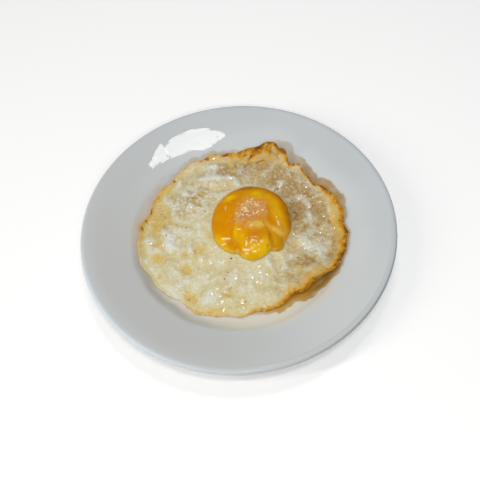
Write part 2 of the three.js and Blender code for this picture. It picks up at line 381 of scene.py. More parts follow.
yolk = {
    "x": 8.6, "y": 6.2, "radius": 23.3, "edgeZ": 11.4, "height": 8.8, "fullness": 2.7,
    "depth": 3.2, "creaseNarrowness": 5, "sectors": 480, "rings": 130,
    "underShares": [0.985, 0.95, 0.88, 0.75, 0.5, 0.25, 0],
    "edgeTurns": [
        ("left lobe", 215, 22, 1.7), ("front swelling", 267, 17, 2.8),
        ("left crease", 244, 4.5, -1.3), ("right crease", 292, 4.5, -1.4),
        ("right droop", 306, 10, 2.4), ("right side", 5, 14, -1.2), ("back", 95, 26, 0.9),
    ],
    "swells": [
        ("swelling", 7, -5.8, 12.5, 11, 90, 1.9), ("droop", 20.5, -9.5, 7, 5.5, 90, 0.9),
    ],
}
white = {
    "oval": {"x": 2.4, "y": 4.1, "long": 59.2, "wide": 54.9, "turn": 16},
    "edgeTurns": [
        ("straight upper right", 35, 19, -7), ("step beside the flap", 55, 5, -3),
        ("flap", 73, 9, 2.6), ("upper left bulge", 121, 12, 1.8), ("upper left dent", 166, 6, -1.4),
        ("left tongue", 191, 16, 2.3), ("front left notch", 224, 4, -1.2),
        ("front left lobe", 239, 6, 1.7), ("straight front", 270, 8, -1),
        ("bite by the curl", 289, 7, -2.2), ("right belly", 328, 18, 4.4),
        ("top knob", 102, 2.2, 0.5), ("upper left knob", 138, 2, 0.6), ("left tip", 175, 2.4, 0.9),
        ("left nick", 160, 1.6, -0.7), ("front knob", 246, 2, 0.5),
        ("front left knob", 230, 1.6, 0.5), ("right nick", 21, 1.8, -0.5),
        ("right point", 345, 2, 0.8), ("flap nick", 66, 1.8, -0.6),
    ],
    "crinkles": [(17, 40, 0.35), (29, 130, 0.3)],
    "lifts": [
        ("right side", 11, 26, 2.4), ("upper right", 52, 27, 4.6), ("flap", 69, 11, 1.4),
        ("curl", 307, 18, 4.4), ("belly", 335, 14, 0.3),
    ],
    "bendLength": [("flap", 70, 12, 0.9), ("curl", 305, 13, 1.2)],
    "bendAngle": [
        ("flap", 72, 9, 74), ("step", 58, 5, 16), ("upper right", 35, 18, 12),
        ("right", 350, 22, 12), ("curl", 303, 11, 112), ("knobs on the left", 178, 8, 22),
    ],
    "liftStarts": 0.5, "plainBend": 2.4, "plainAngle": 8, "contactGap": 0.06,
    "edgeThickness": 0.85, "bodyThickness": 3.3, "collarRise": 1.7, "collarSpread": 6,
    "sectors": 660, "bodyRings": 90, "bendRings": 20, "rimTurns": [40, 75, 105, 140],
    "socketShares": [0, 0.4, 0.7, 0.88, 0.97], "socketInset": 0.15, "socketGap": 0.12,
    "swells": [
        ("left pillow", -41.5, 5, 8, 4, 125, 1.0), ("second left pillow", -40, -2.5, 7, 3.6, 150, 1.0),
        ("front left pillow", -40, -30, 10, 6, 130, 1.0), ("upper ridge", -12, 41.5, 16, 3.2, -4, 1.7),
        ("ridge's end", 2, 36.5, 6, 2.6, -60, 1.3),
        ("hollow below the ridge", -12, 34.5, 12, 3, -8, -1.5),
        ("upper pillow", -13, 51, 12, 4.5, -4, 1.0), ("tan furrow", 0, 48, 9, 2.6, 105, -1.2),
        ("right pillow", 44, 8.5, 7, 4.5, 100, 1.0), ("far right pillow", 54, 9, 4, 3, 90, 0.8),
        ("front right pillow", 44.5, -16.5, 8, 3.4, 95, 1.4),
        ("inner right pillow", 38, -10, 5, 4, 140, 1.0),
        ("fold from the yolk", 20, -23, 8, 1.6, 108, -1.5),
        ("pillow by the fold", 24.5, -23, 7, 3.5, 105, 1.2),
        ("pillow left of the fold", 15, -22, 7, 3, 110, 0.9),
        ("front pillow", 4, -28, 9, 5, 20, 0.8), ("far front pillow", -14, -26, 8, 5, 10, 0.7),
        ("front left hollow", -31, -19.5, 5, 4, 0, -1.0),
        ("hump", -28.4, -6.6, 4.5, 2.4, 100, 1.2), ("hollow by the hump", -23.5, -8.7, 4, 3, 60, -1.1),
        ("second hollow by the hump", -31.2, -9.5, 3, 2.4, 0, -0.8),
        ("far front hollow", -8.4, -38, 8, 3, 165, -0.9),
        ("furrow on the front left", -29.5, -36, 7, 2.6, 135, -1.0),
        ("right hollow", 32.2, -28, 4, 3, 60, -0.9),
        ("hollow right of the yolk", 36, 22, 6, 3.5, -30, -1.0),
        ("tan hollow on the left", -22.7, 20.2, 4, 3, 70, -0.9),
        ("lobe near the left edge", -32.7, 41.2, 4, 2.6, 50, 1.0),
        ("left lump", -28.5, 31.5, 5, 3.2, 0, 0.9), ("small left lump", -27, 23, 3, 2.2, 60, 0.8),
        ("folded crust", 29, 54, 7, 2.4, -58, 2.6), ("pocket in the flap", 17, 53.5, 6, 3, 8, -1.9),
        ("rim of the pocket", 17, 58, 7, 1.8, 12, 1.3),
        ("curled crust", 33, -38.5, 7, 2.2, 25, 0.8),
    ],
    "folds": [
        ("curved ridge on the left", 0.9, 0.55,
         [(-26.8, -2.1), (-24.1, -0.6), (-21.1, -3.3), (-17.9, -7.8)]),
        ("curved ridge in front", 1.0, 0.6, [(17.7, -31), (18.2, -35), (22.2, -37.2), (26, -36)]),
        ("crack on the left", 0.8, -0.5, [(-34.3, 25), (-30, 25.2), (-25.6, 26.1), (-21, 24)]),
        ("wrinkle by the left edge", 0.9, -0.6, [(-49.3, 1.7), (-45.9, -2.3), (-38.6, -9.4)]),
        ("wrinkle in the flap", 0.8, -0.8, [(24.5, 58), (25.5, 53), (30, 48.3)]),
        ("crack right of the yolk", 0.8, -0.7, [(33, 14), (35, 18.5), (39, 21)]),
    ],
}


def yolkReach(direction):
    # the round yolk's radius plus its named turns and a slight unevenness
    return yolk["radius"] + along(direction, yolk["edgeTurns"]) + 0.25 * ringGrain(direction, 9, 24)


def whiteReach(direction):
    # how far a ray from the yolk's middle runs to the turned oval, plus the turns and crinkles
    oval = white["oval"]
    turn = math.radians(oval["turn"])
    angle = np.radians(direction) - turn
    offX, offY = yolk["x"] - oval["x"], yolk["y"] - oval["y"]
    startX = (offX * math.cos(turn) + offY * math.sin(turn)) / oval["long"]
    startY = (offY * math.cos(turn) - offX * math.sin(turn)) / oval["wide"]
    stepX, stepY = np.cos(angle) / oval["long"], np.sin(angle) / oval["wide"]
    a = stepX**2 + stepY**2
    b = startX * stepX + startY * stepY
    c = startX**2 + startY**2 - 1
    reach = (-b + np.sqrt(b * b - a * c)) / a + along(direction, white["edgeTurns"])
    for waves, phase, size in white["crinkles"]:
        reach += size * np.sin(np.radians(waves * direction + phase))
    return reach + 0.3 * ringGrain(direction, 5, 21, 2)


def aroundYolk(x, y):
    # direction and distance of points from the yolk's middle
    offX, offY = x - yolk["x"], y - yolk["y"]
    return np.degrees(np.arctan2(offY, offX)) % 360, np.hypot(offX, offY)


def offYolk(direction, distance):
    # the other way round: x and y at a direction and a distance from the yolk's middle
    angle = np.radians(direction)
    return yolk["x"] + distance * np.cos(angle), yolk["y"] + distance * np.sin(angle)


# The grease and the painted light and shade that lie round the egg on the glaze, by direction
# about the yolk: how strong each is, and how far beyond the white it reaches or lies.
greaseShadeAndLight = {
    # reach and strength are for the stain: grease with the painted warm shadow of the lifted edges in it
    "reach": [(0, 1.6), (10, 4.6), (25, 5.8), (45, 5.6), (55, 7.6), (60, 9), (66, 7.4), (75, 2.2),
              (85, 1), (105, 1.8), (120, 2.2), (135, 1.4), (150, 2), (205, 1.4), (222, 0.6),
              (255, 0.4), (270, 1), (283, 3.4), (295, 4.2), (305, 3.6), (315, 2.8), (325, 1.2),
              (335, 1.1), (350, 1.3)],
    "strength": [(0, 0.6), (10, 0.9), (25, 1), (45, 0.8), (60, 0.45), (75, 0.4), (90, 0.2), (105, 0.6),
                 (120, 0.5), (135, 0.3), (150, 0.2), (176, 0.1), (205, 0.3), (222, 0.05), (250, 0.1),
                 (270, 0.6), (283, 1.2), (295, 1.2), (305, 1), (315, 0.9), (325, 0.6), (335, 0.5),
                 (350, 0.6)],
    # gold is painted amber light come through the browned crust into that shadow
    "gold": [(262, 0), (275, 0.6), (290, 1), (320, 1), (335, 0.8), (350, 0.7), (0, 0.2), (8, 0)],
    # glow is a painted orange glow of light from the egg beside its left edge
    "glow": [(140, 0), (150, 0.3), (160, 0.6), (170, 0.8), (180, 0.5), (195, 0.1), (205, 0)],
    # cream is painted light and reflection thrown from the egg onto the well
    "cream": [(195, 0), (205, 0.3), (213, 0.6), (222, 1), (240, 0.9), (270, 0.9), (290, 0.7),
              (305, 0.7), (318, 0.2), (330, 0)],
    "creamReach": [(205, 1), (222, 2.6), (240, 3), (255, 6), (270, 10), (285, 13), (315, 9)],
    # line is painted shade along the well's wall, where the wall turns away from the lamps
    "line": [(188, 0), (200, 0.4), (205, 0.6), (222, 0.5), (232, 0.45), (240, 0.3), (255, 0)],
    "lineAt": [(188, 2), (200, 2.6), (205, 3), (222, 5.8), (240, 7), (255, 8.5), (268, 10)],
    # light is painted light that lifts the glaze beside the white, where the lifted edges and the wall
    # shade it
    "light": [(0, 0.8), (10, 0.9), (25, 1), (45, 1), (60, 0.9), (75, 0.8), (105, 0.6), (120, 0.6),
              (135, 0.3), (150, 0.2), (200, 0), (255, 0.3), (262, 0.6), (283, 1), (305, 1),
              (325, 1), (335, 1), (350, 0.8)],
}


# The glaze itself. Each tint is a mask, its strength and its tone. A reflection on the rim stops
# where the glaze turns dull, below a bowed line round the plate's middle.
glaze = {
    "dullBelow": [(85, 62), (91, 70), (95, 68), (100, 65.3), (104, 64), (108, 65.8), (111, 67),
                  (116, 66.8), (121, 68.2), (127, 69), (132, 69.7), (142, 70), (150, 60)],
    "dullStart": 60, "slopeRadius": 58, "rimSky": 0.15, "lipSky": 0.55,
    "skyAt": (210, 50), "shadeAt": (340, 50), "slopeAt": (280, 34), "keptLightAt": (305, 32),
    "roughness": 0.005, "stainRoughness": 0.12, "dullRoughness": 0.5, "footTop": 0.1,
    "noises": {"cloud": (22, 3), "specks": (900, 1), "ripple": (100, 2)}, "bump": (0.06, 0.0004),
    "tones": {
        # warm is the glaze under a painted warmer light, on its lower left side
        "cool": (189, 194, 198), "lighter": (194, 199, 203), "warm": (194, 195, 194),
        "specks": (150, 150, 146), "farGreaseShadow": (170, 147, 112), "greaseShadow": (190, 153, 94),
        "farGold": (186, 154, 98), "gold": (188, 144, 62),
    },
    # these tints are painted light (light, cream, slope, glow) and painted shade (line); slope is
    # painted light on the front of the well's wall, which faces away from the lamps
    "tints": [
        ("light", 0.9, (206, 210, 210)), ("cream", 0.8, (214, 206, 190)),
        ("line", 0.8, (166, 159, 138)), ("slope", 0.8, (238, 233, 216)),
        ("glow", 0.8, (224, 184, 128)),
    ],
    # painted light and shade on the lip: a bluish sky highlight, and a shade on its far side
    "lastTints": [
        ("sky", 1, (222, 235, 247)), ("shade", 0.8, (110, 118, 120)), ("bare", 1, (205, 198, 184)),
    ],
}


def greaseShadeAndLightMasks(x, y, upward):
    # each is its strength by direction times a fade or a peak of the distance beyond the white; the
    # stain is grease with painted shadow in it, and the others are painted light and shade on the glaze
    direction, distance = aroundYolk(x, y)
    beyond = distance - whiteReach(direction)
    at = {name: around(direction, points) for name, points in greaseShadeAndLight.items()}
    patchy = (1 + 0.25 * layers(x, y, 5, 71)) * upward
    ragged = beyond + 0.9 * layers(x, y, 4, 72, 2)
    fading = 0.75 * smoothStep((beyond - 7) / 12) * (1 - bell(direction, *glaze["keptLightAt"]))
    slope = peak(np.hypot(x, y) - glaze["slopeRadius"], 3) * upward
    return {
        "stain": at["strength"] * patchy * (1 - smoothStep((ragged - at["reach"]) / 0.9)),
        "near": 1 - smoothStep(beyond / (at["reach"] + 0.5)),
        "gold": at["gold"],
        "cream": at["cream"] * patchy * (1 - smoothStep((beyond - at["creamReach"]) / 2.6)),
        "line": at["line"] * peak(beyond - at["lineAt"], 2.3) * upward,
        "light": at["light"] * (1 - fading) * upward,
        "glow": at["glow"] * peak(beyond, 3.6) * upward,
        "slope": bell(direction, *glaze["slopeAt"]) * slope,
    }


def glazeMasks(x, y, turn, upward):
    # by the turn and the distance about the plate's middle: the dull strip, a painted sky highlight
    # and a painted shade on the lip, and a painted warmer light that fades straight across the plate
    far = np.hypot(x, y)
    below = around(turn, glaze["dullBelow"]) - far
    dull = smoothStep((below + 0.5 * layers(x, y, 1.8, 74, 2)) / 0.8)
    lip = (far - lipMiddle) / plate["lipRadius"]
    sky = glaze["rimSky"] * smoothStep((far - 80) / 7) + glaze["lipSky"] * smoothStep((lip - 0.2) / 0.4)
    return {
        "dull": dull * smoothStep((far - glaze["dullStart"]) / 2) * upward,
        "sky": sky * bell(turn, *glaze["skyAt"]),
        "shade": smoothStep((lip - 0.55) / 0.35) * bell(turn, *glaze["shadeAt"]),
        "warm": smoothStep(0.5 - (0.75 * x + 0.65 * y) / 150),
    }


def makeServingPlate():
    # the profile turned about +Z: x = r cos a, y = r sin a
    radius, height, upperRings = plateProfile()
    angle = np.arange(plate["sectors"]) * 2 * np.pi / plate["sectors"]
    x = radius[:, None] * np.cos(angle)
    y = radius[:, None] * np.sin(angle)
    z = np.repeat(height[:, None], plate["sectors"], axis=1)
    upward = (np.arange(len(radius)) < upperRings)[:, None]
    masks = greaseShadeAndLightMasks(x, y, upward) | glazeMasks(x, y, np.degrees(angle), upward)
    masks["bare"] = 1.0 * (z < glaze["footTop"])
    return closedSkin("servingPlate", np.stack([x, y, z], axis=-1), masks)


def makeGlaze():
    # a cool white glaze with faint specks, tinted by grease with painted shadow and light round the
    # egg, by a painted sky highlight and a painted shade at the lip, over a bare rough foot
    material, start = newMaterial("plateGlaze")
    place = start.node("ShaderNodeTexCoord", output=3)
    ink = inks(glaze["tones"])
    noise = start.noises(place, glaze["noises"])
    base = start.blend(noise["cloud"].between(0.3, 0.7), ink["cool"], ink["lighter"])
    base = start.blend(start.mask("warm"), base, ink["warm"])
    base = start.blend(noise["specks"].between(0.76, 0.8) * 0.35, base, ink["specks"])
    base = start.tinted(base, glaze["tints"])
    # the stain's painted shadow: darker near the white, and golden where painted light came through the
    # crust
    greaseShadow = start.blend(start.mask("near"), ink["farGreaseShadow"], ink["greaseShadow"])
    golden = start.blend(start.mask("near"), ink["farGold"], ink["gold"])
    greaseShadow = start.blend(start.mask("gold"), greaseShadow, golden)
    base = start.blend(start.mask("stain"), base, greaseShadow)
    base = start.tinted(base, glaze["lastTints"])
    rough = glaze["roughness"] + start.mask("stain") * glaze["stainRoughness"]
    rough = rough + (start.mask("bare") + start.mask("dull")) * glaze["dullRoughness"]
    normal = start.bump(noise["ripple"], *glaze["bump"])
    finishMaterial(start, {"Base Color": base, "Roughness": rough, "Normal": normal, "IOR": 1.21})
    return material


placePiece(makeServingPlate(), makeGlaze(), "plate")
print("plate made")


# The yolk: a flattened dome with a swelling in front, a droop on the right and a cooked film.

def yolkShare(direction, radius):
    # the part of the way out to the edge, where the edge's turns only bend the outermost part
    reach = yolkReach(direction)
    nearness = np.minimum(radius / reach, 1) ** yolk["creaseNarrowness"]
    return np.minimum(radius / (yolk["radius"] + nearness * (reach - yolk["radius"])), 1)


def yolkUnder(direction, radius):
    # a shallow bowl: the edge's height less depth times (1 - share^4)
    return yolk["edgeZ"] - yolk["depth"] * (1 - yolkShare(direction, radius) ** 4)


def yolkTop(x, y, direction, radius):
    # the edge's height, plus height times the root of (1 - share^fullness), plus the swells
    share = yolkShare(direction, radius)
    dome = yolk["height"] * np.sqrt(np.maximum(1 - share ** yolk["fullness"], 0))
    return yolk["edgeZ"] + dome + swells(x, y, yolk["swells"]) * (1 - share**6)


yolkDetail = {
    "creases": [
        ("between the lobe and the swelling", 1.3, -0.55,
         [(-2.6, 4.5), (-3.6, -2.5), (-3.4, -6.5), (-2.2, -10.2), (-0.6, -13.5)]),
        ("lip of the swelling", 1.1, 0.35,
         [(-1.4, 1.0), (-2.0, -3.5), (-1.4, -8), (0.2, -11.6)]),
        ("right of the swelling", 1.2, -0.7,
         [(16.2, -0.5), (17.6, -4.5), (18.2, -8.5), (18.0, -12), (17.2, -15)]),
        ("fold over the droop", 1.8, 0.18, [(17.8, -2.6), (20.6, -4.4), (23.8, -6.2), (26.5, -7)]),
        ("under the fold", 1.3, -0.18, [(19.6, -6.4), (22.6, -8.6), (25.4, -9.6)]),
        ("fold on the right", 0.9, 0.2, [(21.8, 7), (23.2, 2), (23.4, -1.6), (24.8, -5)]),
        ("left edge of the film", 1.0, -0.35, [(0.2, 19), (0.6, 14.5), (-1.6, 10.5), (-2.6, 6)]),
        ("dent on the upper left", 1.2, -0.4, [(-5.6, 21), (-2.6, 19.4), (0.4, 19.6)]),
    ],
    "film": [
        ("middle", 7.2, 8.5, 9.0, 8.2, 80, 1.25), ("upper", 9.5, 14.5, 5, 4.5, 0, 0.6),
        ("lower left", 0.8, 3.2, 4.5, 4, 0, 0.75), ("right", 15.6, 8.5, 3.6, 8, 0, 0.7),
        ("lower", 8.5, -1.5, 8, 3, 0, 0.6),
    ],
    "pale": [
        ("spot in the film", 11.4, -2.2, 4.6, 2.8, 5, 1.5), ("streak", 20.6, -4.8, 4.8, 1.9, -30, 0.8),
        ("bright end of the streak", 23.2, -7.2, 2.8, 1.9, -40, 0.9),
        ("membrane at the right", 26.4, -5.6, 2.4, 5, 15, 0.6),
    ],
    "yellow": [
        ("upper left", -3.2, 20.2, 4.2, 2.4, 25, 1.2), ("left flank", -11, -6, 2.4, 5, 40, 1.0),
        ("front left flank", -7.4, -12.2, 4.2, 2.0, -25, 1.1),
        ("lip of the swelling", -1.6, -5, 1.6, 6, -8, 0.9),
        ("front of the swelling", 8.5, -16.5, 8.5, 5, 8, 1.1),
        ("right of the swelling", 15, -13.5, 3, 5, -10, 0.9),
        ("right band", 23.4, 8.4, 3.8, 10, 12, 0.85), ("top", 13, 20.5, 9, 4, -20, 0.7),
        ("over the swelling's left", 1.5, -9, 3, 5.5, 0, 0.75), ("droop", 22.5, -12, 2.6, 4, 15, 0.5),
    ],
    "wet": [
        ("front of the swelling", 7, -13, 8, 5, 0, 0.5), ("streak", 21, -5, 5, 2.4, -30, 0.15),
        ("right fold", 23.4, 0, 1.6, 6, 0, 0.6),
        ("right of the film", 19, 12, 5, 8, 20, 0.2),
    ],
    # pale dashes and dots painted where the lamps glint on the wet yolk: painted glints
    "paintedGlints": [
        ("on the lobe", 0.42, 1, [(-9.4, -6.1), (-5, -7.5)]),
        ("below it", 0.4, 0.9, [(-9.7, -9), (-7.8, -9.2)]),
        ("over the swelling", 0.38, 0.9, [(-0.1, -3.6), (1.4, -4)]),
        ("upright, in front", 0.4, 1, [(4.1, -11.2), (3.8, -13.2)]),
        ("beside it", 0.36, 0.9, [(6.3, -12.3), (7, -11.5)]),
        ("first dot", 0.42, 0.9, [(8.3, -11.2), (8.5, -11.2)]),
        ("second dot", 0.42, 0.9, [(9.6, -11.8), (9.8, -11.9)]),
        ("large dot", 0.62, 1, [(12.4, -11.9), (12.7, -11.9)]),
        ("right dot", 0.45, 0.9, [(10.8, -13.4), (11.1, -13.3)]),
        ("middle dot", 0.4, 0.8, [(8.3, -13.6), (8.6, -13.5)]),
        ("long dash", 0.42, 1, [(2.2, -14.9), (5.3, -15.4)]),
        ("its tip", 0.4, 0.8, [(6.6, -15), (7, -14.6)]),
        ("lowest dash", 0.38, 0.8, [(3, -16.6), (4.3, -16.9)]),
        ("on the fold", 0.4, 0.9, [(23.3, 0.2), (23.4, -2.2)]),
        ("above it", 0.3, 0.7, [(22.4, 2.9), (22.6, 2.3)]),
        ("upper left", 0.3, 0.7, [(-5.6, 14.1), (-5.9, 11.6)]),
    ],
    # olive on the droop, and painted shade on the yolk's right edge and in the crease beside the
    # swelling
    "olive": [
        ("droop", 24, -12.5, 4.6, 4.6, 0, 0.8), ("right edge", 31.5, 0, 2.6, 9, 8, 1.2),
        ("crease", 18.6, -13, 1.4, 5, 0, 0.9),
    ],
    # deeper orange where the yolk is thick, and painted shade along its far top edge, down its right
    # side and in the crease right of the swelling
    "deep": [
        ("top edge", 8.6, 27, 13, 3.4, 0, 1.1), ("far right", 30, 5, 3, 13, 8, 1.2),
        ("in the film", 5, 5.5, 6.5, 3, 0, 0.55), ("upper right", 25.6, 19.4, 3, 10, 42, 1.0),
        ("droop", 21, -14, 4.0, 3.6, 0, 0.1), ("right crease", 18, -10, 1.3, 6, 0, 0.9),
        ("on the swelling", 9, -8, 7.5, 3.4, 0, 0.45), ("right of the film", 18.6, 3, 2.2, 7, 0, 0.45),
        ("below the lobe", -4.5, -10.5, 3.4, 2.4, -30, 0.35),
    ],
    "domed": [("front of the swelling", 7.6, -13, 7.5, 4.4, 0, 1.3)], "paleEdgeAt": (250, 75),
    "noises": {"drift": (160, 3, 0.6), "mottle": (620, 2, 0.6), "fine": (1300, 3, 0.6),
               "coarse": (420, 2)},
    "coarseBump": (0.04, 0.0007), "filmBump": (0.3, 0.0002),
    "tones": {"orange": (211, 135, 0), "lighter": (219, 147, 0), "film": (202, 141, 76),
              "milky": (220, 176, 122)},
    "tintsBelowFilm": [("yellow", 0.9, (235, 190, 2)), ("olive", 0.85, (178, 136, 18))],
    "tintsOverFilm": [
        ("deep", 0.75, (166, 106, 0)), ("pale", 0.8, (228, 192, 84)),
        # bubbles: pale bubbles in the film, and painted glints
        ("bubbles", 0.85, (255, 232, 176)),
    ],
}


def yolkRelief(x, y, film):
    # creases, a slow unevenness, and in the film and on the swelling's front wrinkles and tiny
    # domes of height (1 - gap^2); then pale dots, partly bubbles and partly painted glints, the
    # painted glint dashes, and where the gloss is dry
    bentX, bentY = bent(x, y, 0.8, 5, 81)
    height = strokes(bentX, bentY, yolkDetail["creases"])
    height += 0.22 * layers(x, y, 8, 83, 2)
    wrinkles = 0.5 - np.abs(layers(bentX, bentY, 3.2, 84, 2))
    near, mark = cells(0.6 * bentX, bentY, 1.7, 85)
    domes = np.clip(1 - (near / 0.55) ** 2, 0, 1) * (mark > 0.25)
    height += film * (0.25 * wrinkles + (0.08 + 0.1 * mark) * domes)
    low = np.clip(swells(x, y, yolkDetail["domed"]), 0, 1)
    height += low * (0.1 + 0.08 * mark) * domes
    upper = 0.4 + 0.6 * smoothStep((y - 2) / 6)
    glintAndBubbleDots = smoothStep((domes - 0.62) / 0.25) * (mark > 0.5) * (film * upper + 0.5 * low)
    near, mark = cells(0.8 * bentX, bentY, 1.1, 90)
    glintAndBubbleDots += smoothStep((0.42 - near) / 0.12) * (mark > 0.84) * film * upper
    glintAndBubbleDots += strokes(x, y, yolkDetail["paintedGlints"])
    return height, glintAndBubbleDots, low * (smoothStep(domes / 0.3) - 1)


def makeYolk():
    # rings of the dome from its middle to its edge, then the bowl below back to the middle
    direction = np.arange(yolk["sectors"]) * 360 / yolk["sectors"]
    reach = yolkReach(direction)
    topShares = np.sin(np.linspace(0, np.pi / 2, yolk["rings"])) ** 1.05
    radius = np.concatenate([topShares, yolk["underShares"]])[:, None] * reach
    x, y = offYolk(direction, radius)
    isTop = (np.arange(len(radius)) < yolk["rings"])[:, None]
    z = np.where(isTop, yolkTop(x, y, direction, radius), yolkUnder(direction, radius))

    share = radius / reach
    film = np.clip(swells(x, y, yolkDetail["film"]), 0, 1) ** 1.5
    film = film * smoothStep(0.55 + 1.1 * layers(x, y, 3.4, 87) + film)
    fade = 1 - smoothStep((share - 0.93) / 0.07)
    grid = np.stack([x, y, z], axis=-1)
    lift, glintAndBubbleDots, dry = yolkRelief(x, y, film)
    lift = lift * fade * isTop
    grid = grid + normalsOf(grid) * lift[..., None]
    grid[0] = grid[1].mean(axis=0)
    grid[-1] = grid[-2].mean(axis=0)

    mottle = 1 + 0.5 * layers(x, y, 4, 88)
    thin = smoothStep((share - 0.94) / 0.06) * bell(direction, *yolkDetail["paleEdgeAt"])
    thin = thin * (0.7 + layers(x, y, 3, 89))
    at = {name: swells(x, y, yolkDetail[name]) for name in ("pale", "yellow", "deep", "wet", "olive")}
    masks = {
        "film": film, "pale": at["pale"] * mottle + thin, "yellow": at["yellow"] * mottle,
        "deep": at["deep"] * mottle, "olive": at["olive"], "bubbles": glintAndBubbleDots,
        "wet": 0.03 + film + at["wet"] + dry,
    }
    return closedSkin("eggYolk", grid, masks)


def makeYolkGloss():
    # set orange yolk: yellow where it is thin, deep where it is thick, with painted shade on its
    # right side and in its creases, under a pinkish film, and pale bubbles and painted glints
    material, start = newMaterial("yolkGloss")
    place = start.node("ShaderNodeTexCoord", output=3)
    ink = inks(yolkDetail["tones"])
    noise = start.noises(place, yolkDetail["noises"])
    fine = noise["fine"]
    base = start.blend(noise["drift"].between(0.35, 0.7), ink["orange"], ink["lighter"])
    base = start.tinted(base, yolkDetail["tintsBelowFilm"])
    veil = start.mask("film") * (0.6 + fine.between(0.35, 0.65) * 0.4)
    film = start.blend(noise["mottle"].between(0.35, 0.65), ink["film"], ink["milky"])
    base = start.blend(veil, base, film)
    base = start.tinted(base, yolkDetail["tintsOverFilm"])
    rough = 0.3 + start.mask("film") * 0.1 + fine * 0.06
    normal = start.bump(noise["coarse"], *yolkDetail["coarseBump"])
    normal = start.bump(fine * start.mask("film"), *yolkDetail["filmBump"], normal)
    finishMaterial(start, {
        "Base Color": base, "Roughness": rough, "Normal": normal, "IOR": 1.4,
        "Specular IOR Level": 0.05, "Subsurface Weight": 0.2, "Subsurface Radius": (1.0, 0.4, 0.05),
        "Subsurface Scale": 0.002, "Coat Weight": start.mask("wet"), "Coat Roughness": 0.08,
        "Coat IOR": 1.8,
    })
    return material


placePiece(makeYolk(), makeYolkGloss(), "yolk")
print("yolk made")


# The white: its underside lies on the plate, and near its edge it bends up, most at the curl.
# Its browning goes by direction about the yolk: how wide and how deep the toasted edge is, how dark
# its rind, and how strong the gold and tan bands inside it. The other looks are swells.

